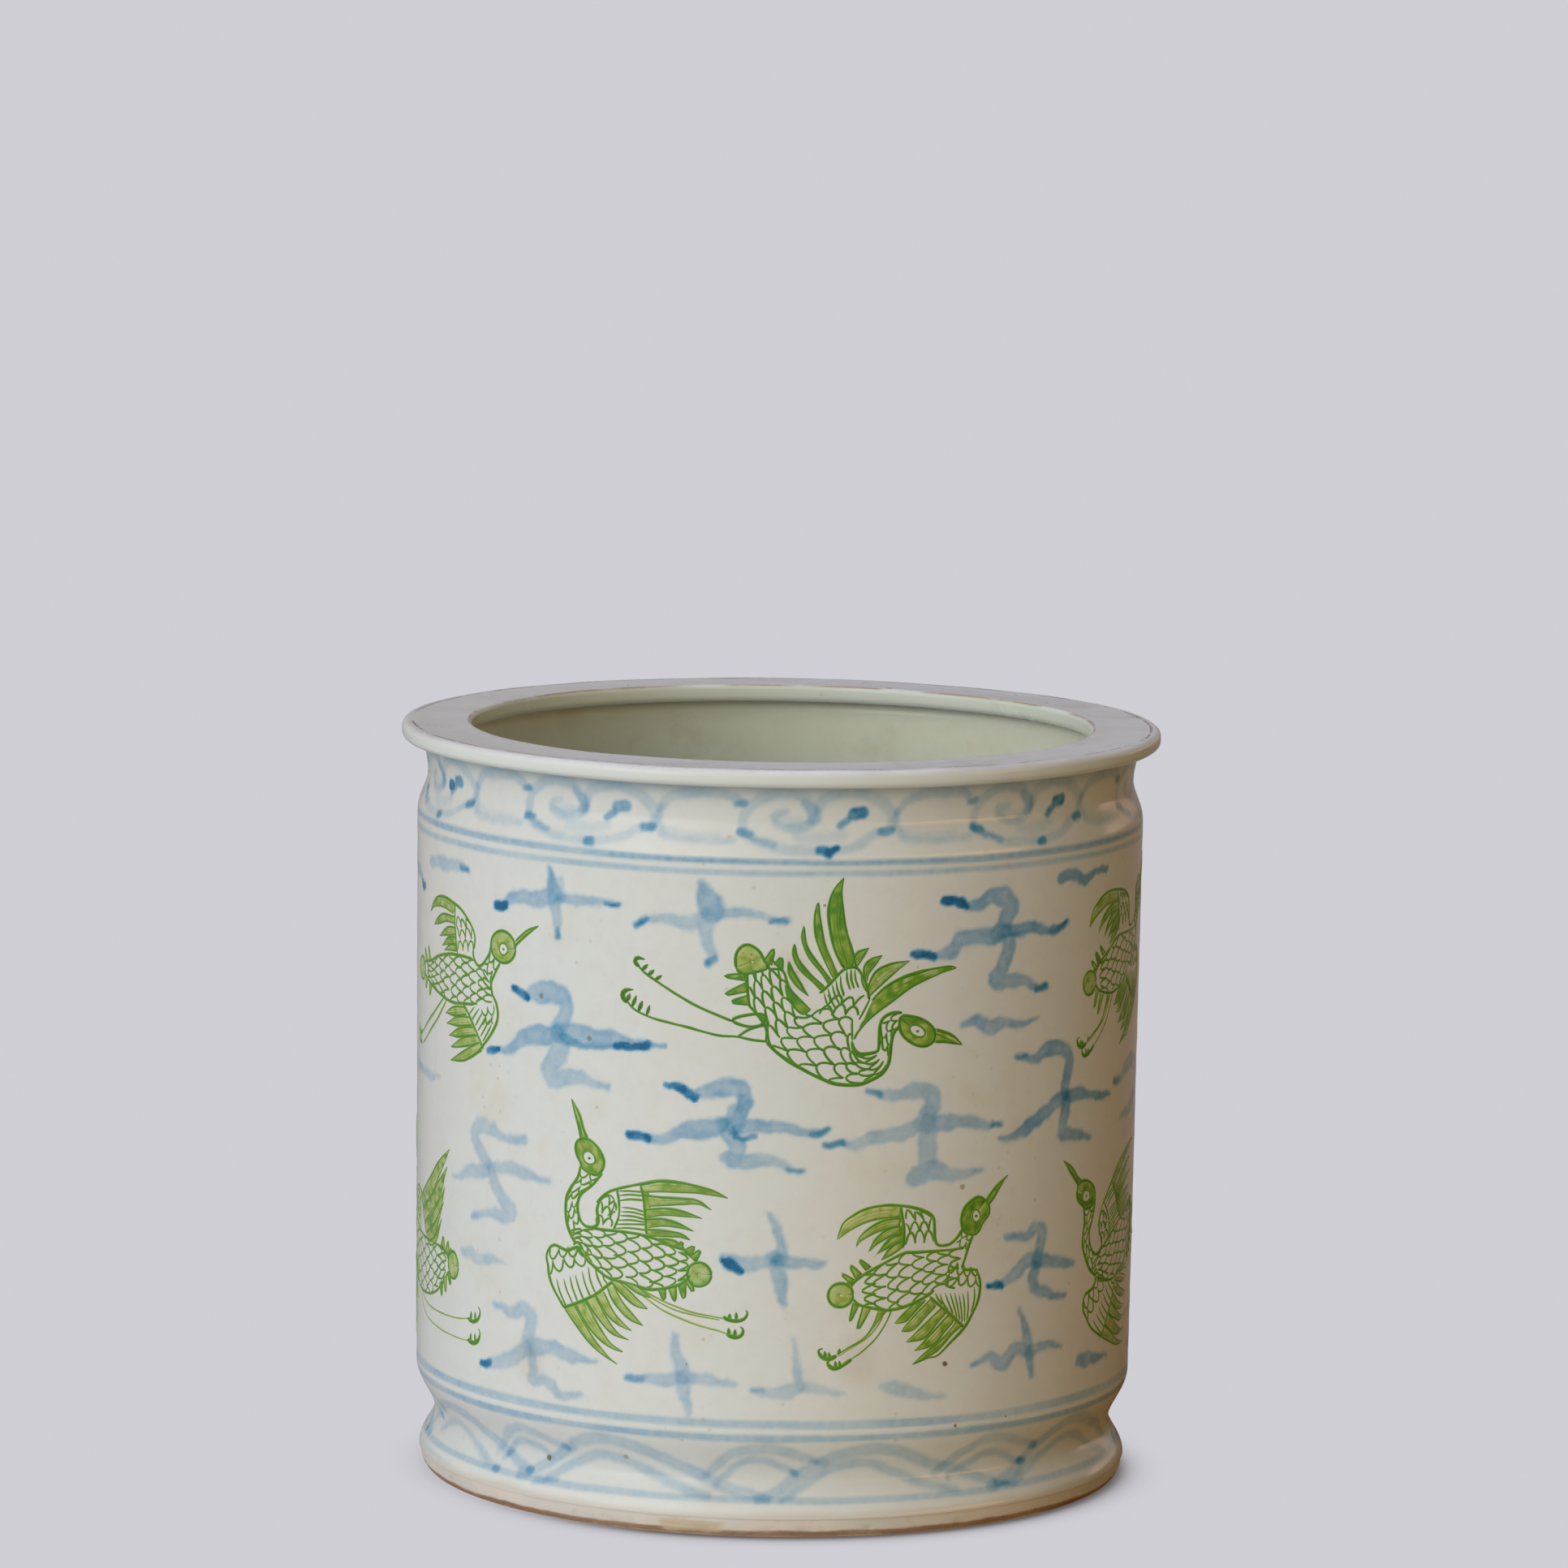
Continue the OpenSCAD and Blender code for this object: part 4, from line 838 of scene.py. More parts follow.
def crane_diving(d):
    """Legs thrown back to the left, wings up, neck curled and head down to the right."""
    d.between([39.3, 124.6, 42.4, 123.5, 44.6, 122.3, 46.6, 120.5], [39.1, 121.6, 42.4, 121.4, 46.4, 120.5], .45)
    d.line(.62, [39.3, 124.6, 42.4, 123.5, 44.6, 122.3, 46.8, 120.5], taper=(1, .4), lift=.04)
    d.line(.42, [39.3, 123.6, 43, 121.9, 45.6, 121], taper=(1, .4), lift=.05)
    d.line(.62, [39.1, 121.6, 42.4, 121.4, 46.7, 120.4], taper=(1, .4), lift=.04)
    d.head([30.2, 128.2, 32.4, 128.2, 35.5, 127.3, 38, 125.7, 39.1, 123.8, 38.9, 121.9, 37.1, 120.7, 34.6, 120.9, 32.1, 122.3,
            30.5, 124.1, 29.9, 126.3], (34.6, 124.4, 2.3, 1.35), tone=.4, turn=-.5)
    outer = [30.5, 129.1, 28, 129, 25.8, 127.9, 25, 126, 24.9, 123.5, 24.8, 121, 24.3, 119.8, 21.8, 119.3, 19.9, 119.4, 18.6, 120.7, 18.1, 122.3]
    inner = [30.2, 126, 28.6, 124.4, 28, 122.3, 27.7, 119.1, 27.3, 116.6, 25.8, 114.4, 23, 112.9, 19.9, 111.9, 16.1, 111.8, 13, 112.4,
             9.9, 113.8, 6.8, 115.4, 3, 117.6, -.1, 119.8, -2.6, 122.3]
    d.line(.66, outer)
    d.line(.7, inner)
    d.scales([30.3, 128.6, 28, 128.6, 25.8, 127.5, 25.1, 125.5, 24.9, 123.2, 24.7, 121], [30.3, 126.3, 28.7, 124.5, 28.1, 122.3, 27.8, 119.5, 27.4, 117.6],
             2.3, 2, w=.46, deep=.85)
    # belly and body scales, running from the breast to the tail
    d.scales([24.4, 120, 21.8, 119.3, 19.4, 119.6, 18.2, 122.3, 18.6, 126.5, 17, 129.4, 13.6, 130, 10.4, 130.6, 7.6, 129.6, 5.4, 131.4, 3.4, 134.4, 1.6, 138, -.6, 141.6, -2.6, 144.4],
             [27.3, 117.4, 25.6, 114.4, 22, 112.6, 17, 111.9, 12, 112.9, 8, 114.9, 4, 117.2, 1, 119.2, -1.6, 121.6, -3.4, 126.4, -5.6, 130.4, -6.9, 134.4, -7.4, 138.6, -7.6, 142],
             3.35, 4, w=.46, deep=1.0)
    d.line(.58, [-7.6, 138.5, -7.3, 134.8, -6.7, 131, -5.9, 130.1, -2.8, 126, -2.6, 122.3])
    d.line(.5, [-2, 140, 1.1, 139.6, 2.5, 136, 4, 133.4])
    # tail ball and its leaves
    d.disc(-6.2, 141.6, 3, 3, .55, outline=[-10, 140.1, -10.1, 143.2, -8.9, 145.2, -7, 145.7, -4.8, 144.4, -3.6, 142.6, -2.6, 140.3, -5.5, 139.2, -8.4, 138.8], gold=.9)
    d.line(.62, [-10, 140.1, -10.1, 143.2, -8.9, 145.2, -7, 145.7, -4.8, 144.4, -3.6, 142.6, -2.6, 140.3, -5.5, 139.2, -8.4, 138.8], closed=True, lift=.05)
    for b in ([-7.5, 139, -12.8, 138, -7.5, 137], [-7.3, 136.8, -12.5, 133.6, -7.3, 134.4], [-7, 133.5, -11, 131.8, -6.5, 131],
              [-3.6, 141.6, -1.2, 144.8, -1.6, 140.8], [-1, 141, .8, 142.8, 1.2, 139.6]):
        p = pairs(b)
        d.between(p[:2].ravel(), p[[2, 1]].ravel(), .34, streak=.3)
        d.line(.52, b, taper=(.7, .7), lift=.04)
    # legs
    d.line(.52, [-2.6, 122.3, -5.8, 122.6, -9.5, 123.3, -13.9, 123.4, -17, 124, -21.4, 125.1, -26.4, 126, -30.8, 126.9, -35.1, 128.5, -37.3, 130.4], .14, taper=(1, .85))
    d.line(1.0, [-37.2, 130.2, -38.4, 131.4, -38.3, 132.6, -37.2, 133.3, -35.6, 133.4], .08, taper=(1, .35), lift=.03)
    d.line(.8, [-37.2, 130.6, -36.6, 132.4], .08, taper=(1, .35))
    d.line(.85, [-35.9, 129.4, -34.9, 132], .08, taper=(1, .35))
    d.line(.85, [-34.2, 128.4, -33.3, 130.8], .08, taper=(1, .35))
    d.line(.75, [-32.2, 127.6, -31.4, 130], .08, taper=(1, .35))
    d.line(.52, [-10.8, 127.1, -14.5, 128.5, -20.1, 130.7, -25.1, 133.2, -29.5, 135.7, -32.6, 137.6, -34.5, 139.4], .14, taper=(1, .85))
    d.line(1.0, [-34.3, 139.2, -35.4, 140.2, -34.8, 141.3, -32.8, 140.9], .08, taper=(1, .35), lift=.03)
    d.line(.8, [-33.4, 138.4, -32, 139.8], .08, taper=(1, .35))
    d.line(.8, [-31.8, 137.2, -30.3, 138.6], .08, taper=(1, .35))
    d.line(.75, [-30, 136.2, -28.4, 137.4], .08, taper=(1, .35))
    d.line(.6, [-10.8, 127.1, -8.9, 128.3, -4.5, 129, -2.8, 128.2, -3.9, 126.3, -7, 125.9], closed=True)
    d.line(.6, [-9.5, 123.3, -7, 125.1, -4.5, 126, -2, 126.4])
    # wings
    d.scales([10, 128.4, 10.6, 131, 12.2, 134.6], [19.4, 127.6, 20, 131, 21.4, 134.5], 2.6, 3, w=.48, deep=.92)
    W = [([3.8, 146.1, 4.6, 142.6, 7.4, 139.1], [11.1, 136], [3.8, 146, 3.6, 143.5, 4.9, 140.4, 8, 137.3, 10.5, 134.8], .3),
         ([6, 150.5, 6.8, 145.4, 9.9, 141], [13, 137.3], [5.9, 150.2, 5.6, 147.3, 7.4, 142.9, 10.5, 139.1, 12.3, 136.3], .36),
         ([9.4, 156.3, 10, 151.6, 11.1, 146, 13.3, 141], [14.6, 138.5], [9.2, 156, 8.6, 152.9, 8.9, 147.9, 11.1, 142.3, 13.3, 137.9], .4),
         ([2.5, 141.9, 3.9, 139.1], [7.4, 133.5], [2.4, 141.7, 2.5, 139.1, 4.6, 136], .34),
         ([1.8, 136.3, 4.3, 133.5], [8, 130.1], [1.8, 136.1, 2.7, 132.9, 5.8, 129.1], .36)]
    for u, t, l, tn in W:
        d.feather(u, t, l, tn, w=.55)
    # the tallest quill, broad at the root and darkened towards the tip
    d.between([15.4, 162.1, 15, 157.9, 15.8, 151, 17.4, 145.4, 18.9, 140.4], [15.3, 162, 13, 159.1, 11.9, 154.8, 12.4, 149.8, 13.6, 144.8, 15.8, 140.4], .36, streak=.16)
    d.line(.62, [15.4, 162.3, 15, 157.9, 15.8, 151, 17.4, 145.4, 18.9, 140.4], taper=(.4, 1), lift=.05)
    d.line(.62, [15.3, 162.1, 13, 159.1, 11.9, 154.8, 12.4, 149.8, 13.6, 144.8, 15.8, 140.4], taper=(.4, 1), lift=.05)
    d.line(.4, [14.2, 158.5, 13.9, 153, 14.8, 147, 16.6, 141.4], .2, taper=(.5, 1), lift=.06)
    d.line(.4, [13.2, 155, 13.4, 149.5, 14.8, 143.6], .3, taper=(.5, 1), lift=.06)
    d.line(.36, [15, 156.6, 14.6, 151.4, 15.6, 146], .1, taper=(.5, .6), lift=.06)
    d.line(.3, [12.6, 153, 12.9, 148, 14.2, 144.2], .5, taper=(.5, .6), lift=.06)
    S = [([17.7, 140.4, 18.9, 143.8], [21.9, 145.1], [18.9, 140.4, 20.5, 142.9], .5),
         ([21.1, 136.6, 20.8, 140.4, 22.4, 142.3], [25.2, 143.2], [21.6, 137, 21.8, 138.6, 23.6, 141], .46),
         ([21.4, 134.8, 23.6, 139.1, 27.4, 141], [32.1, 141.6], [21.8, 132.9, 24.3, 135.4, 28.6, 139.1], .6)]
    for u, t, l, tn in S:
        d.feather(u, t, l, tn, w=.52, gold=.7 if tn == .6 else 0)
    d.feather([23, 132.3, 26.1, 135.4, 30.5, 137.6, 36.8, 139.1, 42.4, 139.8], [44.6, 139.3], [18.6, 122.9, 19.6, 124.8, 23, 128.5, 27.4, 131.6, 33, 135.4, 39.3, 137.9], .42, w=.68)
    for b in ([11, 134.5, 12, 131.6, 13.5, 129], [13, 136.3, 13.8, 133.6, 15, 131.5], [15, 138.5, 15.2, 136, 16, 133.5], [16.5, 140, 16.7, 137.4, 17.5, 135],
              [18.5, 140, 18.7, 137.6, 19.5, 135.5], [20, 139, 20.4, 136.6, 21.5, 134.5], [12, 135.4, 12.9, 132.6, 14.2, 130.2],
              [14, 137.4, 14.5, 134.8, 15.5, 132.5], [17.6, 140.2, 17.7, 137.5, 18.4, 135.3], [22.4, 133, 21.2, 130.4, 19.8, 127.6],
              [24.6, 131.4, 22.4, 129.2, 20, 126]):
        d.line(.44, b, .16, taper=(.6, 1))
    d.line(.58, [10, 134.2, 12.6, 136.6, 15.4, 139.6, 17.4, 140.5, 19.4, 140, 21.4, 136.2, 22.2, 132.6])


def crane_level(d):
    """Short-necked, head raised to the right, both wings spread, legs under the tail."""
    d.between([61.1, 86.9, 58, 84.8, 55.8, 82.6, 54.6, 81.1], [61.1, 86.7, 59.3, 85.1, 57.1, 82, 55.2, 80.1], .4)
    d.line(.6, [61.3, 87.1, 58, 84.8, 55.8, 82.6, 54.6, 81.1], taper=(.4, 1), lift=.04)
    d.line(.6, [61.3, 87, 59.3, 85.1, 57.1, 82, 55.2, 80.1], taper=(.4, 1), lift=.04)
    d.head([54.6, 81.4, 52.7, 82.5, 50.8, 82, 48.6, 80.4, 47.7, 78.6, 47.7, 76.4, 48.6, 74.2, 51.1, 73.4, 52.7, 74.2, 53.9, 76.1,
            55.6, 77.9, 55.6, 80.1], (51.9, 77.9, 1.15, 1.5), tone=.28, turn=.2)
    d.line(.66, [48, 75.1, 46.8, 73.3, 44.9, 71.7, 43, 71.3, 41.1, 71.7, 40.4, 73.3, 40.2, 75.8, 39.9, 78.3, 38.3, 79.8, 35.5, 80.9,
                 31.8, 81.7, 26.8, 82, 22.4, 81.3, 19.3, 79.8, 16.8, 77.9, 15.4, 74.3], taper=(1, .4), lift=.03)
    d.line(.66, [51.2, 73.6, 50, 71, 48.9, 67.6, 48, 65.4])
    d.scales([48.4, 75, 47, 72.8, 45.6, 70.6], [51.4, 73.8, 50, 71, 49.2, 68], 2.1, 2, w=.44, deep=.85)
    d.feather([31.8, 81.7, 26.8, 82, 22.4, 81.3, 19.3, 79.8, 16.8, 77.9], [15.4, 74.1], [31.1, 79.2, 26.8, 79, 22.4, 78.1, 18.4, 76.2], .6)
    d.feather([31.4, 78.8, 26.8, 78.3, 23, 76.4, 20.8, 74.2], [20.2, 72.1], [31.1, 77.1, 25.5, 75.8, 21.4, 73.6], .5)
    d.feather([31.8, 76.7, 28, 76.1, 24.9, 73.9], [23.2, 70.8], [31.8, 75.4, 28.6, 74.5, 25.5, 72.9], .46)
    d.feather([32.1, 75.1, 28.6, 73.9], [25.2, 70.1], [32.1, 73.9, 28, 71.7], .44)
    d.feather([32.1, 73.3, 28.9, 71.7], [26.4, 68.6], [32.4, 72, 29.3, 70.1], .44, vein=False)
    d.line(.66, [31.1, 81.5, 31.6, 78.9, 32.1, 75.8, 32.1, 71.4], lift=.03)
    d.scales([40.3, 72, 39.8, 76, 39.2, 78.6, 37, 80.2], [32.4, 71.2, 32.6, 75, 32.6, 78.6, 32.2, 81.3], 2.8, 3, w=.48, deep=.92)
    # body, tail to the left
    top = [48.6, 70.4, 44.9, 70.1, 40.5, 70.1, 35.5, 70.1, 32.1, 70, 26.8, 67.6, 22.4, 65.4, 19.9, 63.6, 19.1, 62.4]
    low = [48, 60.4, 44.5, 60.6, 40.5, 60.4, 38, 58.9, 34.9, 57.6, 31.8, 56.7, 28, 56.3, 24.3, 57, 21.1, 57.9, 19.4, 59.5]
    d.line(.6, top)
    d.line(.62, low[4:])
    d.scales([48.8, 70.3] + top[2:], [47, 60.4] + low[2:], 3.1, 4, w=.45, deep=1.0)
    d.disc(16.4, 60.3, 3.1, 3.0, .5, gold=.12)
    a = np.linspace(0, 2 * np.pi, 11)[:-1]
    d.line(.6, np.stack([16.4 + 3.05 * np.cos(a), 60.3 + 2.95 * np.sin(a)], 1).ravel(), closed=True, lift=.05)
    for b in ([19.3, 62.6, 16.6, 65.6, 19.8, 63.9], [20.2, 63.9, 18.7, 67.6, 21.6, 65.4], [22.7, 66.2, 20.9, 68.9, 24, 67], [19.6, 58.4, 18.9, 53.7, 21, 57.7],
              [22, 57.4, 20.9, 51.8, 24, 56.9], [19.4, 61.4, 17.9, 63.8, 19.4, 63]):
        p = pairs(b)
        d.between(p[:2].ravel(), p[[2, 1]].ravel(), .4)
        d.line(.5, b, taper=(.7, .7), lift=.04)
    # legs
    d.between([25.8, 56.3, 24.6, 52, 22.6, 49.6], [28.4, 56.2, 26.8, 54.3, 23.2, 50], .35)
    d.line(.4, [26.1, 56.1, 24.6, 52.3, 22.4, 49.5, 18.6, 47.3, 15.5, 45.4], .16, taper=(1, .7))
    d.line(.34, [27.4, 56.1, 26.4, 53.3, 23.6, 49.9, 19.6, 47.4, 16, 45.2], .3, taper=(1, .7))
    d.line(.85, [15.6, 45.4, 13.6, 44.7, 11.9, 45.4, 11.2, 46.9, 12.3, 47.3], .08, taper=(1, .4), lift=.03)
    for b in ([14, 44.9, 13.8, 46.3], [13, 45, 12.8, 46.6], [16.2, 45.7, 16.5, 47.1]):
        d.line(.7, b, .08, taper=(1, .4))
    d.line(.4, [29.3, 56.1, 28, 53.3, 25.5, 49.5, 21.8, 46.1, 19.3, 44.5], .2, taper=(1, .7))
    d.line(.85, [19.4, 44.5, 16.1, 42.4, 14.3, 42.6, 13.5, 43.9, 14.6, 44.5], .08, taper=(1, .4), lift=.03)
    for b in ([16.6, 42.7, 16.4, 44.1], [15.6, 42.4, 15.4, 44.1]):
        d.line(.7, b, .08, taper=(1, .4))
    # near wing
    d.line(.66, [48, 65.4, 49.6, 64.8, 51.8, 64.7, 52.9, 63.6, 53.5, 60.8, 53, 57, 51.1, 53.3, 48.9, 50.4, 45.5, 47.3, 41.8, 44.2, 39.3, 43.8, 35.2, 42.5], taper=(1, .5))
    d.scales([45.2, 67.4, 43, 63.4, 41.2, 60], [52.4, 65, 53.6, 61.6, 52.6, 58.8], 2.7, 4, w=.45, deep=.95, t0=.1)
    d.feather([48.6, 51.4, 46.8, 50, 44.9, 48.4, 41.8, 45.6, 39, 44.2], [35, 42.4], [46.8, 52.2, 44.9, 49.9, 41.8, 47.3, 38, 44.9], .46)
    d.feather([46.1, 52.6, 43.6, 50.1, 40.5, 47], [35.5, 45.8], [44.9, 54.3, 41.8, 51.4, 38, 47.9], .5)
    d.feather([43.9, 54.5, 41.1, 52, 38, 48.9], [33.3, 48.1], [42.6, 55.8, 38.6, 52.6, 34.9, 49.5], .44)
    d.feather([41.1, 56.6, 38, 53.9, 34.9, 51.1], [32.1, 50.8], [39.6, 58.4, 36.1, 55.1, 33, 52], .46)
    d.feather([38.2, 58.2, 35.5, 55.8, 33, 53.3], [30.2, 52.9], [35.2, 57.4, 32.4, 55.1], .42)
    d.line(.7, [39.3, 58.9, 43, 55.8, 46.1, 53.3, 48.9, 50.8], lift=.03)
    for b in ([42.1, 59.5, 43, 57.2, 44.6, 55.1], [43.6, 59.6, 44.6, 57, 45.9, 54.2], [44.9, 59.5, 46, 56.4, 47.1, 53.3], [46.2, 59.3, 47.2, 55.6, 47.9, 52.6],
              [47.4, 58.9, 48.2, 55.4, 48.6, 52], [48.6, 59, 49.2, 55.6, 49.3, 51.9], [49.9, 59.5, 50.2, 55.6, 49.9, 52.4], [51.8, 60.4, 52, 57.4, 51.1, 54.2],
              [40.8, 59.8, 41.6, 58.2, 42.8, 56.8]):
        d.line(.44, b, .16, taper=(.6, 1))


def crane_gliding(d):
    """Head to the right on a short neck, tail to the left, legs drawn back under it."""
    d.between([-63.3, 146.2, -66.7, 144.8, -70.8, 141.8], [-63.3, 146.1, -67.5, 143.5, -71.3, 140.2], .45)
    d.line(.6, [-63.1, 146.4, -66.7, 144.8, -70.8, 141.8], taper=(.4, 1), lift=.04)
    d.line(.6, [-63.1, 146.3, -67.5, 143.5, -71.3, 140.2], taper=(.4, 1), lift=.04)
    a = np.linspace(0, 2 * np.pi, 13)[:-1]
    d.head(np.stack([-75.4 + 4.6 * np.cos(a), 139.8 + 3.9 * np.sin(a)], 1).ravel(), (-75.2, 139.3, 1.6, 1.5), tone=.5, gold=.75)
    d.line(.64, [-80, 139.8, -80.8, 137.3, -83.3, 134.5, -85.4, 133.9, -87.2, 135.6, -87.5, 137.7])
    d.line(.64, [-76.3, 135.8, -78.3, 133.1, -80, 130.2, -79.2, 127.3])
    d.scales([-79.8, 139, -80.8, 137, -83.2, 134.3, -85.6, 133.7], [-76.4, 135.9, -78.3, 133, -80, 130.2, -79.4, 127.6], 2.5, 2, w=.46, deep=.85)
    d.line(.64, [-87.1, 137.7, -86.8, 141, -88.8, 143.9, -92.5, 146.4, -95.8, 147.5, -100.8, 148.5, -105.8, 148.5, -110, 146.8, -112.7, 143.9], taper=(1, .4), lift=.03)
    d.feather([-96.5, 147.3, -100.8, 148.3, -105.8, 148.3, -110, 146.7], [-112.9, 143.6], [-97.5, 145.2, -103.3, 146, -109.2, 145.4], .5)
    d.feather([-96.7, 144.5, -103.3, 144.2, -107.5, 142.7], [-110, 140.8], [-96.7, 142.7, -101.7, 142.7, -106.7, 141.4], .5)
    d.feather([-96.3, 141.8, -100.8, 141.3], [-105.8, 138.5], [-96.3, 140.2, -101.7, 139.3], .5)
    d.feather([-95.8, 139.5, -100, 138.9], [-104.2, 136.4], [-95.4, 138.1, -100, 137.3], .5)
    d.feather([-95.4, 137.7, -99, 137.2], [-102.9, 135.3], [-95.4, 136.2, -99, 135.9], .5, vein=False)
    d.line(.62, [-96.6, 147.4, -96.7, 143, -96, 139, -95.2, 135.6], lift=.03)
    d.scales([-87.6, 136, -86.9, 140, -88.6, 143.6, -92, 146], [-94.8, 136, -95.6, 139.6, -96, 143, -96.2, 147], 2.8, 3, w=.48, deep=.92)
    top = [-87.9, 135.2, -95, 135.3, -101.7, 134.5, -107.5, 133.1, -112.5, 131.4, -118.3, 130.2, -120, 129]
    low = [-84, 124.6, -87, 124.2, -92.5, 123.5, -100, 123.1, -107.5, 124.3, -115, 126, -120, 128]
    d.line(.6, top)
    d.line(.62, low[2:])
    d.scales([-80.2, 131] + [-84, 134.4] + top, [-78, 126] + low, 3.3, 4, w=.45, deep=1.0)
    d.disc(-121.5, 128.2, 3.4, 2.9, .6, gold=.3)
    d.line(.6, [-118.1, 128.2, -119.2, 130.4, -121.5, 131.1, -123.9, 130.3, -124.9, 128.2, -123.9, 126.1, -121.5, 125.3, -119.2, 126], closed=True, lift=.05)
    for b in ([-113, 131.6, -115, 134.6, -114.4, 131], [-116, 130.9, -118.6, 133.6, -117.6, 130.4], [-112, 125.2, -114, 122.4, -114.2, 125.8], [-115.6, 126.2, -118, 123.6, -117.6, 126.8]):
        p = pairs(b)
        d.between(p[:2].ravel(), p[[2, 1]].ravel(), .4)
        d.line(.5, b, taper=(.7, .7), lift=.04)
    # near wing
    d.line(.66, [-79.2, 127.3, -77.7, 125.2, -77.3, 121.8, -79.2, 118.5, -83.3, 114.3, -86.7, 111.8, -92.5, 109.3, -99.2, 108.5], taper=(1, .5))
    d.scales([-79.2, 126, -78, 123, -79.4, 119.4], [-84, 123.6, -83.4, 121, -84.2, 118.6], 2.4, 2, w=.44, deep=.85)
    tips = [(-99.2, 108.4), (-98.8, 111.8), (-100, 114.5), (-101.3, 117.3), (-102.1, 119.8)]
    roots = [(-83.8, 114), (-85, 115.6), (-86.7, 117.4), (-88.3, 119.6), (-90.8, 121.8)]
    for i in range(5):
        (rx, rz), (tx, tz) = roots[i], tips[i]
        mx, mz = (rx + tx) / 2, (rz + tz) / 2
        lo = -1.5 if i == 0 else -.75
        d.feather([rx + .2, rz - .8, mx, mz + lo], [tx, tz], [rx - .8, rz + 1.0, mx - .6, mz + lo + 2.0], .56)
    d.line(.66, [-83, 113.6, -84.8, 116, -87, 118.4, -90, 121.6, -92, 123.2], lift=.03)
    for b in ([-79.6, 120.2, -81.4, 117.8, -83.4, 115.4], [-80.6, 121.2, -82.4, 118.8, -84.3, 116.6], [-81.8, 122.2, -83.6, 119.8, -85.4, 117.8],
              [-83.2, 122.9, -84.8, 121, -86.5, 119], [-84.8, 123.4, -86.4, 121.8, -87.9, 120.2], [-86.8, 123.6, -88.2, 122.4, -89.4, 121.4]):
        d.line(.44, b, .16, taper=(.6, 1))
    d.line(.56, [-103.3, 123.5, -109.2, 119.3, -115, 116, -120, 113, -123, 111.6], .22, taper=(1, .7))
    d.line(.56, [-101.5, 123.2, -107, 118, -113, 114, -118, 110.8, -121, 109.4], .26, taper=(1, .7))
    for o in (0, -2.2):
        d.line(.85, [-122.6, 111.8 + o, -124.6, 111.2 + o, -126, 112.2 + o, -126, 113.8 + o], .1, taper=(1, .4), lift=.03)
        d.line(.7, [-124.2, 111.4 + o, -124, 113 + o], .1, taper=(1, .4))


def crane_side(d):
    """Seen past the turn of the wall: a long wing raised behind, scaled rump, legs level."""
    F = [([-123, 70.5, -114, 76.2, -106.6, 81.8], [-99.6, 86], [-121, 67.6, -112.4, 72.6, -105, 79.6]),
         ([-121, 67, -112.6, 71.8, -106, 77.4], [-101, 81.4], [-119.4, 64.4, -111.6, 68.6, -105.4, 73.8]),
         ([-119, 64, -111.6, 67.8, -106, 72.4], [-102.4, 76.2], [-117.6, 62, -110.6, 65.4, -105.6, 69.6]),
         ([-117, 61.8, -110.6, 64.8], [-103.4, 72], [-115.6, 60.2, -109.6, 62.8]),
         ([-115, 60.4, -109.8, 62.2], [-104.6, 67.8], [-113.6, 59.4, -108.8, 61])]
    for u, t, l in F:
        d.feather(u, t, l, .5, w=.5)
    top = [-146, 65, -138, 64.2, -132, 63.6, -124, 61.4, -116, 60.8, -108, 60.8, -103, 60.2, -100.2, 59]
    low = [-145, 54, -138, 51.4, -131, 49.2, -126, 47.4, -117, 46.8, -109, 48.6, -104, 51.6, -100.8, 54.6]
    # the wing root, then the front half of the bird, out of sight from the front
    d.line(.6, [-132, 63.6, -133, 67, -131.4, 70.6, -127.6, 72.2, -122.6, 71.2], lift=.04)
    d.line(.5, [-123.4, 70.8, -124, 67, -124.6, 64, -124, 61.2])
    d.scales([-131.6, 64, -132.2, 67, -130.6, 70, -127.4, 71.6], [-124.6, 62, -124.8, 64.6, -124.4, 67.4, -123.8, 70.2], 2.6, 3, w=.5, deep=.9)
    keep = d.to
    d.to = d.to + np.array([-96.0, -8.0])
    rising_front(d)
    d.to = keep
    d.line(.6, top)
    d.line(.6, low)
    d.scales(top, low, 3.1, 4, w=.45, deep=1.0)
    d.disc(-97.4, 57.4, 2.9, 3.4, .6, gold=.2)
    a = np.linspace(0, 2 * np.pi, 11)[:-1]
    d.line(.55, np.stack([-97.4 + 2.85 * np.cos(a), 57.4 + 3.4 * np.sin(a)], 1).ravel(), closed=True, lift=.05)
    for b in ([-105, 60.9, -103.4, 63.4, -102.4, 60.4], [-102.2, 60, -100.4, 62.8, -99.8, 59.4], [-100.8, 58.6, -98.6, 61.6, -98.8, 57.8],
              [-106, 51.4, -104.4, 48.4, -103.6, 52.4], [-103.4, 53, -101.8, 49.8, -101, 54.2], [-101, 55, -98.8, 52, -98.8, 56]):
        p = pairs(b)
        d.between(p[:2].ravel(), p[[2, 1]].ravel(), .4)
        d.line(.5, b, taper=(.7, .7), lift=.04)
    d.line(.38, [-122, 46.6, -115, 44.4, -104, 44, -94, 44.6, -89, 45.4], .36, taper=(1, .7))
    d.line(.38, [-123, 46.4, -119, 42.4, -113, 40.6, -104, 39.8, -94, 39.6, -89.4, 39.8], .38, taper=(1, .7))
    for oz in (0, -5.4):
        d.line(.85, [-89.6, 45.4 + oz, -87, 45 + oz, -84.8, 46 + oz, -84, 48 + oz, -84.8, 49 + oz], .09, taper=(1, .4), lift=.03)
        d.line(.7, [-88.2, 45.3 + oz, -88, 47.4 + oz], .09, taper=(1, .4))
        d.line(.7, [-86.2, 45.6 + oz, -86.2, 47.6 + oz], .09, taper=(1, .4))


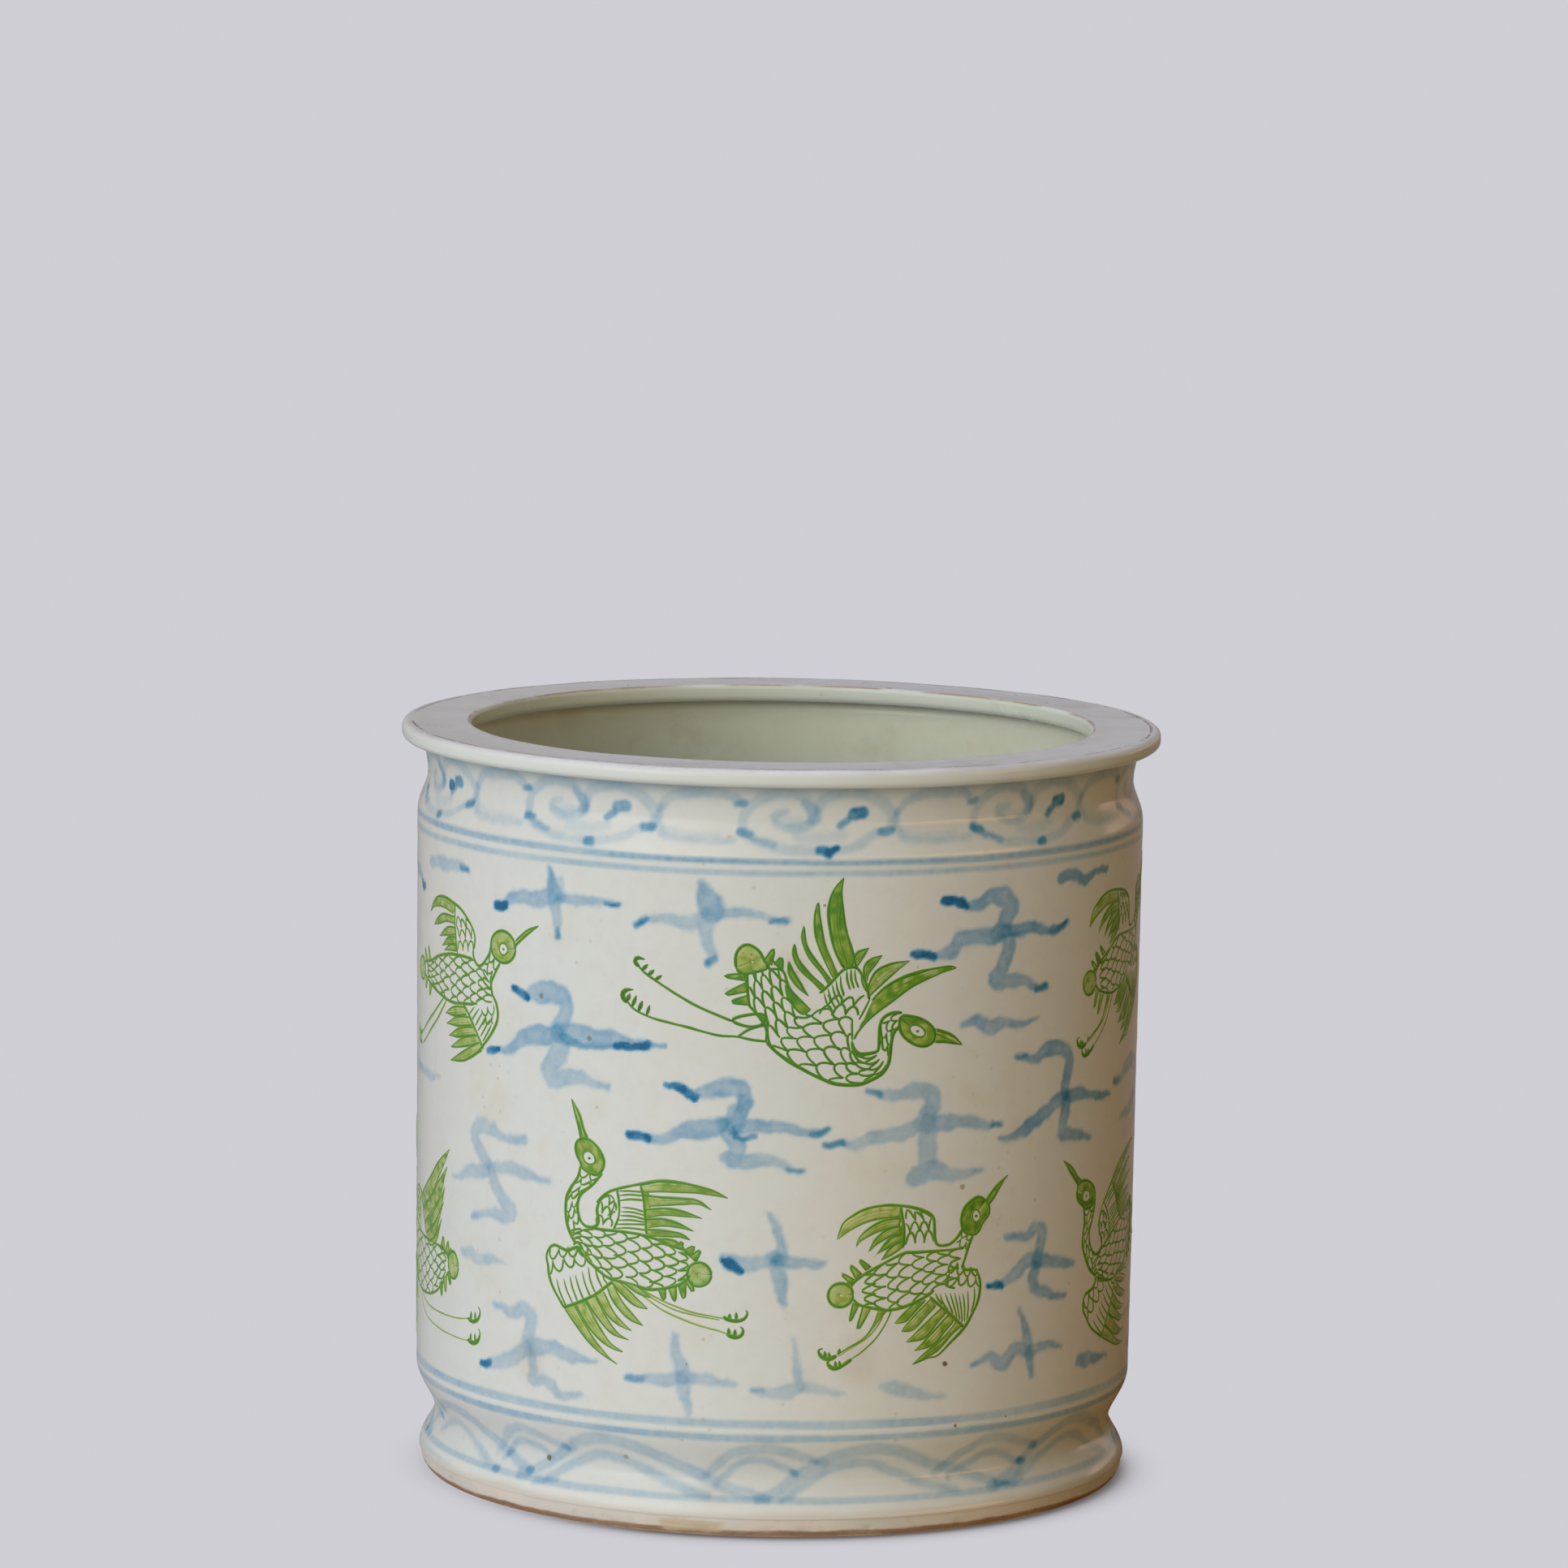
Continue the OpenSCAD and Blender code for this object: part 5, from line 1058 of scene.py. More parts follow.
# which drawing, the place its own middle goes to, turn in degrees, size, mirrored
RISE, DIVE, LEVEL, GLIDE = (-36, 75), (5, 133), (37, 64), (-92, 130)
BIRDS = [
    ("crane_left_low", crane_rising, RISE, RISE, 0, 1, False),
    ("crane_dive", crane_diving, DIVE, DIVE, 0, 1, False),
    ("crane_right_low", crane_level, LEVEL, LEVEL, 0, 1, False),
    ("crane_glide", crane_gliding, GLIDE, GLIDE, 0, 1, False),
    ("crane_far_right_high", crane_level, LEVEL, (111.5, 135), 0, 1, False),
    ("crane_far_right_low", crane_rising, (-51, 70), (98, 57.4), 26, 1, False),
    ("crane_far_left_low", crane_side, (-97.4, 57.4), (-97.4, 57.4), 0, 1, False),
    ("crane_back_high_1", crane_gliding, GLIDE, (192.7, 132), 4, 1, True),
    ("crane_back_high_2", crane_diving, DIVE, (281.2, 133), 0, 1, True),
    ("crane_back_high_3", crane_gliding, GLIDE, (372.8, 131), -3, 1, False),
    ("crane_back_low_1", crane_level, LEVEL, (167.4, 65), 6, 1, True),
    ("crane_back_low_2", crane_rising, RISE, (236.9, 72), 0, 1, True),
    ("crane_back_low_3", crane_level, LEVEL, (309.6, 64), 0, 1, False),
    ("crane_back_low_4", crane_rising, RISE, (379.1, 73), 5, 1, False),
]


# ---------------------------------------------------------------- meshes
def new_object(name, V, F, smooth=True):
    me = bpy.data.meshes.new(name)
    me.from_pydata(V.tolist() if hasattr(V, "tolist") else V, [], F)
    me.validate()
    ob = bpy.data.objects.new(name, me)
    bpy.context.scene.collection.objects.link(ob)
    me.polygons.foreach_set("use_smooth", [smooth] * len(me.polygons))
    return ob


def set_attr(ob, name, data):
    at = ob.data.attributes.new(name, 'FLOAT', 'POINT')
    at.data.foreach_set("value", np.asarray(data, np.float32))


NCOL = 284
_arc = np.concatenate([[0], np.cumsum(np.hypot(np.diff(OUT_R), np.diff(OUT_Z)))])
NROW = int(round(_arc[-1] / 2.0))
FINE_Z = np.interp(np.linspace(0, _arc[-1], NROW * 4 + 1), _arc, OUT_Z)
FINE_S = np.arange(NCOL * 4) * CIRC / (NCOL * 4)


def blue_and_shade_at(s, z):
    return np.clip(-1.8 * np.log(np.maximum(1 - density(s, z), 1e-3)), 0, 4.6)


def cell_levels():
    S, Z = np.meshgrid(FINE_S, FINE_Z)
    B = blue_and_shade_at(S, Z)
    B = np.concatenate([B, B[:, :1]], 1)
    lv = np.zeros((NROW, NCOL), int)
    for j in range(NROW):
        band = B[j * 4:j * 4 + 5]
        w = np.lib.stride_tricks.sliding_window_view(band, (5, 5))[0, ::4]
        rng_ = w.max((1, 2)) - w.min((1, 2))
        lv[j] = np.where(rng_ > .22, 2, np.where(rng_ > .07, 1, 0))
    return lv


LEVEL_OF = cell_levels()


def outer_piece(name, z0, z1, strips, cols):
    """The outside glaze between two heights: a closed skin, finer where it is painted."""
    j0 = int(np.argmin(np.abs(FINE_Z[::4] - z0)))
    j1 = int(np.argmin(np.abs(FINE_Z[::4] - z1)))
    NXF = NCOL * 4
    lv = LEVEL_OF
    faces, fcol = [], []

    def vid(r, c):
        return r * NXF + c % NXF

    def edge(r0, c0, r1, c1, step):
        """Ids along an edge, from the first corner up to but not the second."""
        n = max(abs(r1 - r0), abs(c1 - c0)) // step
        dr, dc = (r1 - r0) // n, (c1 - c0) // n
        return [vid(r0 + dr * i, c0 + dc * i) for i in range(n)]

    for j in range(j0, j1):
        for i in range(NCOL):
            L = lv[j, i]
            up = lv[j + 1, i] if j + 1 < j1 else L
            dn = lv[j - 1, i] if j > j0 else L
            lf, rt = lv[j, i - 1], lv[j, (i + 1) % NCOL]
            st = 4 >> L
            r, c = j * 4, i * 4
            if L == 2:
                for a in range(4):
                    for b in range(4):
                        faces.append((vid(r + a, c + b), vid(r + a, c + b + 1), vid(r + a + 1, c + b + 1), vid(r + a + 1, c + b)))
                        fcol.append(i)
                continue
            n = 1 << L
            for a in range(n):
                for b in range(n):
                    ra, cb = r + a * st, c + b * st
                    sb = 4 >> max(L, dn) if a == 0 else st
                    sr = 4 >> max(L, rt) if b == n - 1 else st
                    stp = 4 >> max(L, up) if a == n - 1 else st
                    sl = 4 >> max(L, lf) if b == 0 else st
                    f = (edge(ra, cb, ra, cb + st, sb) + edge(ra, cb + st, ra + st, cb + st, sr)
                         + edge(ra + st, cb + st, ra + st, cb, stp) + edge(ra + st, cb, ra, cb, sl))
                    faces.append(tuple(f))
                    fcol.append(i)
    nskin = len(faces)
    # the hidden inner skin and the two closing rings
    base = NXF * (NROW * 4 + 1)
    rows = sorted(set(list(range(j0, j1, 1 if j1 - j0 < 30 else 4)) + [j1]))
    irow = {j: base + k * NCOL for k, j in enumerate(rows)}
    for a, b in zip(rows, rows[1:]):
        for i in range(NCOL):
            i1 = (i + 1) % NCOL
            faces.append((irow[a] + i, irow[b] + i, irow[b] + i1, irow[a] + i1))
            fcol.append(i)
    for i in range(NCOL):
        i1 = (i + 1) % NCOL
        e = edge(j0 * 4, i * 4, j0 * 4, i * 4 + 4, 4 >> lv[j0, i]) + [vid(j0 * 4, i * 4 + 4)]
        faces.append(tuple(e[::-1] + [irow[j0] + i, irow[j0] + i1]))
        fcol.append(i)
        e = edge(j1 * 4, i * 4, j1 * 4, i * 4 + 4, 4 >> lv[j1 - 1, i]) + [vid(j1 * 4, i * 4 + 4)]
        faces.append(tuple(e + [irow[j1] + i1, irow[j1] + i]))
        fcol.append(i)
    used = np.unique(np.concatenate([np.fromiter(f, int) for f in faces]))
    new = {int(v): k for k, v in enumerate(used)}
    F = [tuple(new[v] for v in f) for f in faces]
    skin = used < base
    s = np.where(skin, FINE_S[used % NXF], 0.0)
    z = np.where(skin, FINE_Z[np.minimum(used // NXF, NROW * 4)], 0.0)
    rr = np.array([rows[(v - base) // NCOL] for v in used[~skin]])
    s[~skin] = FINE_S[((used[~skin] - base) % NCOL) * 4]
    z[~skin] = FINE_Z[rr * 4]
    rad = wall_surface(s, z)
    off = np.interp(z, OUT_Z, OUT_R) - .30
    rad = np.where(skin, rad, off)
    ob = new_object(name, place(s, z, rad), F)
    me = ob.data
    set_attr(ob, "blue_and_shade", np.where(skin, blue_and_shade_at(s, z), 0))
    # normals from the true surface, so the seams between pieces and cell sizes do not show
    e = .35
    ds = (wall_surface(s + e, z) - wall_surface(s - e, z)) / (2 * e)
    zc = np.clip(z, FOOT_Z + .02, FLANGE_Z - .02)
    dz = (wall_surface(s, zc + e) - wall_surface(s, zc - e)) / ((np.clip(zc + e, FOOT_Z, FLANGE_Z)) - np.clip(zc - e, FOOT_Z, FLANGE_Z))
    a = s / R0
    out = np.stack([np.sin(a), -np.cos(a), np.zeros_like(a)], 1)
    tan = np.stack([np.cos(a), np.sin(a), np.zeros_like(a)], 1)
    N = out - tan * ds[:, None] - np.array([0, 0, 1]) * dz[:, None]
    N /= np.linalg.norm(N, axis=1)[:, None]
    N[~skin] *= -1
    # layout for baking: strips of the unrolled wall, side by side
    uv = me.uv_layers.new(name="OFBake")
    zz0, zz1 = FINE_Z[j0 * 4], FINE_Z[j1 * 4]
    per = NCOL // strips
    W, H = per * CIRC / NCOL, zz1 - zz0
    nrow = math.ceil(strips / cols)
    gap = .008
    sc = min((1 - gap * (cols + 1)) / (cols * W), (1 - gap * (nrow + 1)) / (nrow * H))
    if len(me.polygons) == len(F):
        tot = np.zeros(len(me.polygons), int)
        me.polygons.foreach_get("loop_total", tot)
        vi = np.zeros(len(me.loops), int)
        me.loops.foreach_get("vertex_index", vi)
        col = np.repeat(np.array(fcol), tot)
        isin = np.repeat(np.arange(len(F)) >= nskin, tot)
        k = np.minimum(col // per, strips - 1)
        sv = s[vi]
        sv = np.where((col == NCOL - 1) & (sv < CIRC / 4), sv + CIRC, sv)
        u = (sv - k * W) * sc + gap + (k % cols) * (W * sc + gap)
        v = (z[vi] - zz0) * sc + gap + (k // cols) * (H * sc + gap)
        uvs = np.stack([u, v], 1)
        uvs[isin] = uvs[isin] * .0 + [gap / 2, gap / 2] + (uvs[isin] * .002)
        uv.data.foreach_set("uv", np.clip(uvs, 0, 1).ravel().astype(np.float32))
        # faces of the hidden skin and rings keep their own flat normals
        nl = N[vi].copy()
        pn = np.zeros(len(me.polygons) * 3)
        me.polygons.foreach_get("normal", pn)
        pl = np.repeat(pn.reshape(-1, 3), tot, axis=0)
        nl[isin] = pl[isin]
        me.normals_split_custom_set(nl.tolist())
    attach(ob, "root")
    return ob


def lathe(name, prof, nseg, rfun=None, closed=True):
    """Turns a profile of (radius, height) round the pot; rfun moves it a little by azimuth."""
    prof = np.asarray(prof, float)
    n = len(prof)
    a = np.arange(nseg) * 2 * np.pi / nseg
    A, K = np.meshgrid(a, np.arange(n), indexing="ij")
    R, Z = prof[K, 0], prof[K, 1]
    if rfun is not None:
        dR, dZ = rfun(A, R, Z)
        R, Z = R + dR, Z + dZ
    V = np.stack([R * np.sin(A), -R * np.cos(A), Z], -1).reshape(-1, 3) * MM
    F = []
    last = n if closed else n - 1
    for i in range(nseg):
        i1 = (i + 1) % nseg
        for k in range(last):
            k1 = (k + 1) % n
            F.append((i * n + k, i1 * n + k, i1 * n + k1, i * n + k1))
    ob = new_object(name, V, F)
    b = bmesh.new()
    b.from_mesh(ob.data)
    bmesh.ops.remove_doubles(b, verts=b.verts, dist=1e-6)
    bmesh.ops.recalc_face_normals(b, faces=b.faces)
    b.to_mesh(ob.data)
    b.free()
    ob.data.polygons.foreach_set("use_smooth", [True] * len(ob.data.polygons))
    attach(ob, "root")
    return ob


def path_points(pts, step):
    """Straight runs between corner points, cut into short steps."""
    out = []
    for (r0, z0), (r1, z1) in zip(pts, pts[1:]):
        n = max(1, int(math.hypot(r1 - r0, z1 - z0) / step))
        out += [(r0 + (r1 - r0) * i / n, z0 + (z1 - z0) * i / n) for i in range(n)]
    return out + [pts[-1]]


def arc(cx, cz, r, a0, a1, n=8):
    return [(cx + r * math.cos(math.radians(a0 + (a1 - a0) * i / n)), cz + r * math.sin(math.radians(a0 + (a1 - a0) * i / n))) for i in range(n + 1)]


# rim: the whole flange as one glazed, closed ring
rim_prof = (path_points([(OPEN_R + 1.7, FLANGE_Z), (RIM_R - 1.7, FLANGE_Z)], 1.6)[:-1] + arc(RIM_R - 1.7, FLANGE_Z + 1.7, 1.7, -90, 0)
            + arc(RIM_R - 1.7, TOP_Z - 1.7, 1.7, 0, 90) + path_points([(RIM_R - 1.75, TOP_Z), (OPEN_R + 1.2, TOP_Z)], 1.1)[1:-1]
            + arc(OPEN_R + 1.2, TOP_Z - 1.2, 1.2, 90, 180) + arc(OPEN_R + 1.7, FLANGE_Z + 1.7, 1.7, 180, 262, 6))


def rim_shape(A, R, Z):
    s = A * R0
    topw = smoothstep(186.4, 188.2, Z)
    edge = smoothstep(92.6, 94.6, R)
    dz = topw * (.26 * (vnoise(s, Z * 0 + 10, 55, 401) - .5) + .16 * (vnoise(s, R * 1.4, 14, 402) - .5)
                 - .12 * smoothstep(79, 83, R) * (1 - smoothstep(88, 92.5, R)))
    dr = edge * (.34 * (vnoise(s, Z * 0 + 20, 48, 403) - .5) + .14 * (vnoise(s, Z * 2, 12, 404) - .5)) - .2 * edge * .5
    low = 1 - smoothstep(184.0, 185.5, Z)
    dz = dz + low * smoothstep(90, 93, R) * .2 * (vnoise(s, Z * 0 + 7, 30, 405) - .3)
    return dr, dz


rim = lathe("rim", rim_prof, 540, rim_shape)
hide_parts("rim_flange", "rim_glaze")

# inside glaze: floor, cove and wall, a closed skin
IN_R, IN_Z = WALL_IN_R - GLAZE, FLOOR_Z + GLAZE


def cove_line(off):
    return [(REST_IN_R + 10.85 * math.sin(math.radians(a)) - off * math.sin(math.radians(a)), FLOOR_Z + 6 * (1 - math.cos(math.radians(a))) + off * math.cos(math.radians(a)))
            for a in range(0, 91, 9)]


in_prof = ([(.02, IN_Z)] + path_points([(4, IN_Z), (REST_IN_R, IN_Z)], 7)[:-1] + cove_line(GLAZE)
           + path_points([(IN_R, FLOOR_Z + 6), (IN_R, FLANGE_Z - .05)], 3.2)[1:]
           + [(WALL_IN_R - .06, FLANGE_Z - .05), (WALL_IN_R - .06, 100.0)] + cove_line(.06)[::-1] + [(4, FLOOR_Z + .06), (.02, FLOOR_Z + .06)])


def in_shape(A, R, Z):
    s = A * R0
    w = smoothstep(20, 40, Z) * (R < WALL_IN_R - .2)
    return -w * (.16 * vnoise(s, Z, 34, 411) + .08 * vnoise(s, Z, 11, 412) + .05 * (1 + np.sin(Z / 2.1 + 3 * vnoise(s, Z, 70, 413)))), np.zeros_like(R)


inside = lathe("inside", in_prof, 288, in_shape)
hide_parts("inner_glaze")

# foot ring: rounded bare edge, resting face and the ring's inside, closed under the glaze
foot_prof = ([(REST_IN_R + .05, 10.5), (REST_IN_R + .05, .9)] + arc(REST_IN_R + .95, .9, .9, 180, 270, 5)[1:]
             + path_points([(REST_IN_R + 1, 0), (REST_R - .3, 0)], 2.2)[1:-1]
             + [(REST_R + 2.25 * math.sin(math.radians(a)), FOOT_Z * (1 - math.cos(math.radians(a)))) for a in range(0, 91, 6)]
             + [(FOOT_R - GLAZE + .02, FOOT_Z + .35), (FOOT_R - 1.2, FOOT_Z + .9), (REST_R - 2.6, 10.5)])


def foot_shape(A, R, Z):
    s = A * R0
    w = smoothstep(.35, 1.6, Z) * (R > 84) * (Z < 4.3)
    chip = smoothstep(.72, .9, vnoise(s, Z * 2, 4.2, 421)) * smoothstep(.2, .8, Z) * (1 - smoothstep(2, 3.4, Z)) * (R > 84)
    return w * (.30 * (vnoise(s, Z, 9, 422) - .62) + .14 * (vnoise(s, Z, 2.6, 423) - .6)) - .34 * chip, np.zeros_like(R)


foot = lathe("foot", foot_prof, 720, foot_shape)
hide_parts("foot_ring")

wall_foot = outer_piece("outer_foot", FOOT_Z, 31.4, 4, 1)
wall_main = outer_piece("outer_wall", 31.4, 161.2, 4, 2)
wall_neck = outer_piece("outer_neck", 161.2, FLANGE_Z, 4, 1)
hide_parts("outer_glaze")

birds = []
for n, (nm, draw, mid, to, turn, k, flip) in enumerate(BIRDS):
    pen = Pen(700 + n, about=mid, to=to, turn=math.radians(turn), k=k, flip=flip, fine=1.0 if abs(to[0]) < 125 else .75)
    draw(pen)
    ob = pen.make(nm)
    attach(ob, "root")
    birds.append(ob)
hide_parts("crane_enamels")


# ---------------------------------------------------------------- materials
def srgb(r, g, b):
    f = lambda c: (c / 255) / 12.92 if c <= 10 else ((c / 255 + .055) / 1.055) ** 2.4
    return (f(r), f(g), f(b), 1)


class Mat:
    def __init__(self, name):
        self.m = bpy.data.materials.new(name)
        self.m.use_nodes = True
        self.nt = self.m.node_tree
        self.nt.nodes.clear()
        self.out = self.add("ShaderNodeOutputMaterial")
        self.p = self.add("ShaderNodeBsdfPrincipled")
        self.link(self.p.outputs[0], self.out.inputs[0])
        tc = self.add("ShaderNodeTexCoord")
        self.obj = tc.outputs["Object"]
        self.sep = self.add("ShaderNodeSeparateXYZ")
        self.link(self.obj, self.sep.inputs[0])
        self.x, self.y, self.z = self.sep.outputs

    def add(self, kind, **kw):
        n = self.nt.nodes.new(kind)
        for k, v in kw.items():
            setattr(n, k, v)
        return n

    def link(self, a, b):
        self.nt.links.new(a, b)

    def put(self, sock, v):
        if hasattr(v, "is_linked"):
            self.link(v, sock)
        else:
            sock.default_value = v

    def math(self, op, a, b=0.0, c=0.0, clamp=False):
        n = self.add("ShaderNodeMath", operation=op, use_clamp=clamp)
        self.put(n.inputs[0], a)
        self.put(n.inputs[1], b)
        self.put(n.inputs[2], c)
        return n.outputs[0]

    def noise(self, scale, detail=3.0, rough=.55, dist=0.0, vec=None):
        n = self.add("ShaderNodeTexNoise")
        n.inputs["Scale"].default_value = scale
        n.inputs["Detail"].default_value = detail
        n.inputs["Roughness"].default_value = rough
        n.inputs["Distortion"].default_value = dist
        self.link(vec or self.obj, n.inputs["Vector"])
        return n.outputs[0]

    def cells(self, scale, vec=None):
        n = self.add("ShaderNodeTexVoronoi")
        n.inputs["Scale"].default_value = scale
        self.link(vec or self.obj, n.inputs["Vector"])
        return n.outputs["Distance"], n.outputs["Color"]

    def squeeze(self, sx, sy, sz):
        n = self.add("ShaderNodeMapping")
        n.inputs["Scale"].default_value = (sx, sy, sz)
        self.link(self.obj, n.inputs["Vector"])
        return n.outputs[0]

    def ramp(self, fac, lo, hi, a=0.0, b=1.0, smooth=True):
        n = self.add("ShaderNodeMapRange", interpolation_type='SMOOTHSTEP' if smooth else 'LINEAR')
        n.inputs["From Min"].default_value = lo
        n.inputs["From Max"].default_value = hi
        n.inputs["To Min"].default_value = a
        n.inputs["To Max"].default_value = b
        self.link(fac, n.inputs["Value"])
        return n.outputs["Result"]

    def mix(self, fac, a, b, mode='MIX'):
        n = self.add("ShaderNodeMix", data_type='RGBA', blend_type=mode)
        self.put(n.inputs["Factor"], fac)
        self.put(n.inputs[6], a)
        self.put(n.inputs[7], b)
        return n.outputs[2]

    def band(self, v, a0, a1, b1, b0):
        """Nothing below a0, full from a1 to b1, nothing above b0."""
        return self.math('MULTIPLY', self.ramp(v, a0, a1), self.ramp(v, b1, b0, 1, 0))

    def radius(self):
        return self.math('SQRT', self.math('ADD', self.math('MULTIPLY', self.x, self.x), self.math('MULTIPLY', self.y, self.y)))

    def attr(self, name):
        n = self.add("ShaderNodeAttribute", attribute_name=name)
        return n.outputs["Fac"]

    def bump(self, height, dist, strength=1.0, prev=None):
        n = self.add("ShaderNodeBump")
        n.inputs["Distance"].default_value = dist
        n.inputs["Strength"].default_value = strength
        self.link(height, n.inputs["Height"])
        if prev is not None:
            self.link(prev, n.inputs["Normal"])
        return n.outputs[0]

    def done(self, colour, rough, normal=None, **kw):
        self.put(self.p.inputs["Base Color"], colour)
        self.put(self.p.inputs["Roughness"], rough)
        if normal is not None:
            self.link(normal, self.p.inputs["Normal"])
        for k, v in kw.items():
            self.p.inputs[k].default_value = v
        return self.m


WHITE = (.620, .637, .630, 1)


def glaze_base(M, white=WHITE, blotch=.5):
    """Off-white glaze: slow warm and cool drift, faint clouding, a few pinholes and dark specks."""
    slow = M.noise(9, 2)
    mid = M.noise(38, 4, .6, .4)
    c = M.mix(M.ramp(slow, .38, .66, 0, .42), white, (.640, .618, .585, 1))
    c = M.mix(M.ramp(M.noise(15, 3), .45, .7, 0, .30), c, (.590, .615, .600, 1))
    c = M.mix(M.math('MULTIPLY', M.ramp(mid, .55, .78), .34 * blotch), c, (.60, .51, .42, 1))
    c = M.mix(M.ramp(M.noise(260, 3, .7), .4, .72, 0, .13), c, (.50, .48, .45, 1))
    c = M.mix(M.ramp(M.noise(105, 3, .6, .5), .52, .74, 0, .22 * blotch), c, (.60, .50, .42, 1))
    d, col = M.cells(88)
    r = M.add("ShaderNodeSeparateColor")
    M.link(col, r.inputs[0])
    speck = M.math('MULTIPLY', M.ramp(d, .04, .085, 1, 0), M.ramp(r.outputs[0], .84, .88))
    c = M.mix(M.math('MULTIPLY', speck, .6), c, (.22, .15, .08, 1))
    d2, col2 = M.cells(46, M.squeeze(1, 1, .8))
    r2 = M.add("ShaderNodeSeparateColor")
    M.link(col2, r2.inputs[0])
    stain = M.math('MULTIPLY', M.ramp(d2, .10, .34, 1, 0), M.ramp(r2.outputs[1], .86, .95))
    c = M.mix(M.math('MULTIPLY', stain, .26), c, (.45, .33, .22, 1))
    d3, col3 = M.cells(330)
    r3 = M.add("ShaderNodeSeparateColor")
    M.link(col3, r3.inputs[0])
    sand = M.math('MULTIPLY', M.ramp(d3, .10, .24, 1, 0), M.math('MULTIPLY', M.ramp(r3.outputs[0], .80, .9), M.ramp(M.noise(26, 3, .6), .50, .66)))
    c = M.mix(M.math('MULTIPLY', sand, .55), c, (.50, .40, .28, 1))
    return c, speck


def glaze_normal(M, k=1.0):
    n = M.bump(M.noise(62, 2, .5), .00030 * k, .55)
    return M.bump(M.noise(420, 2, .6), .00003 * k, .5, n)


def make_white():
    M = Mat("white_glaze")
    c, speck = glaze_base(M)
    # painted shade: the glaze colour is made darker and greener under the flange and in the groove of the foot
    c = M.mix(M.math('MULTIPLY', M.ramp(M.z, .1765, .1838), .45), c, (.42, .46, .43, 1))
    c = M.mix(M.math('MULTIPLY', M.band(M.z, .0085, .0135, .0155, .023), .22), c, (.50, .55, .56, 1))
    # the glaze thins and warms to cream at its lower edge
    edge = M.math('ADD', M.z, M.math('MULTIPLY', M.math('SUBTRACT', M.noise(55, 3), .5), .0022))
    c = M.mix(M.math('MULTIPLY', M.ramp(edge, .0050, .0072, 1, 0), .75), c, (.52, .47, .415, 1))
    # cobalt under the glaze takes out red most, then green, then blue; the same map holds the painted shade under the
    # flange
    b = M.attr("blue_and_shade")
    grain = M.ramp(M.noise(620, 3, .7), .3, .75, .82, 1.2, False)
    b = M.math('MULTIPLY', b, grain)
    t = M.add("ShaderNodeCombineXYZ")
    M.link(M.math('POWER', .385, b), t.inputs[0])
    less = M.math('SUBTRACT', b, M.math('MULTIPLY', M.math('MAXIMUM', M.math('SUBTRACT', b, 1.0), 0.0), .34))
    M.link(M.math("POWER", .590, less), t.inputs[1])
    M.link(M.math("POWER", .822, b), t.inputs[2])
    c = M.mix(1.0, c, t.outputs[0], 'MULTIPLY')
    # warm smudges, and rusty grains caught in the glaze near some of them
    patchy = M.ramp(M.noise(75, 5, .65, .5), .36, .70)
    gd, gc = M.cells(420)
    gs = M.add("ShaderNodeSeparateColor")
    M.link(gc, gs.inputs[0])
    grit = M.math('MULTIPLY', M.ramp(gd, .10, .30, 1, 0), M.ramp(gs.outputs[1], .70, .82))
    for s, z, size, k, g in ((-80, 104, 13, .42, .5), (-66, 90, 9, .38, .3), (-71, 121, 8, .30, .3), (-47, 104, 8, .16, .8), (-84, 60, 12, .30, .2), (-19, 50, 8, .24, .5),
                             (52, 112, 14, .34, .2), (57, 72, 15, .30, .2), (30, 92, 9, .22, .3), (66, 98, 10, .34, .3), (-56, 146, 8, .18, .3), (34, 141, 7, .10, .8),
                             (-20, 26, 9, .12, .6), (5, 141, 6, .10, .5), (-38, 120, 6, .14, .7), (150, 90, 14, .3, .4), (215, 120, 12, .3, .4), (290, 70, 14, .3, .4), (350, 110, 12, .3, .4)):
        p = place(s, z, float(np.interp(z, OUT_Z, OUT_R)))
        v = M.add("ShaderNodeVectorMath", operation='DISTANCE')
        M.link(M.obj, v.inputs[0])
        v.inputs[1].default_value = tuple(p)
        near = M.ramp(v.outputs["Value"], size * .0002, size * .001, 1, 0)
        c = M.mix(M.math('MULTIPLY', M.math('MULTIPLY', near, patchy), k), c, M.mix(1.0, c, (.90, .78, .56, 1), 'MULTIPLY'))
        c = M.mix(M.math('MULTIPLY', M.math('MULTIPLY', near, grit), g), c, (.42, .30, .16, 1))
    # small iron spots seen on the wall
    for s, z, r, col in ((44, 42, .75, (.10, .055, .015, 1)), (-62.5, 14.3, .9, (.12, .12, .03, 1)), (47.3, 26.4, .55, (.25, .15, .06, 1)),
                         (11, 155.5, .4, (.3, .2, .1, 1)), (-21, 42.6, .35, (.3, .22, .14, 1)), (62.6, 27, .35, (.35, .22, .1, 1))):
        p = place(s, z, float(np.interp(z, OUT_Z, OUT_R)))
        v = M.add("ShaderNodeVectorMath", operation='DISTANCE')
        M.link(M.obj, v.inputs[0])
        v.inputs[1].default_value = tuple(p)
        k = M.math('ADD', v.outputs["Value"], M.math('MULTIPLY', M.math('SUBTRACT', M.noise(900, 2), .5), .0006))
        c = M.mix(M.ramp(k, r * .0006, r * .0011, .9, 0), c, col)
    rough = M.ramp(M.noise(120, 3), .3, .8, .085, .17, False)
    n = M.bump(speck, .00012, .5, glaze_normal(M))
    return M.done(c, rough, n, **{"IOR": 1.5})


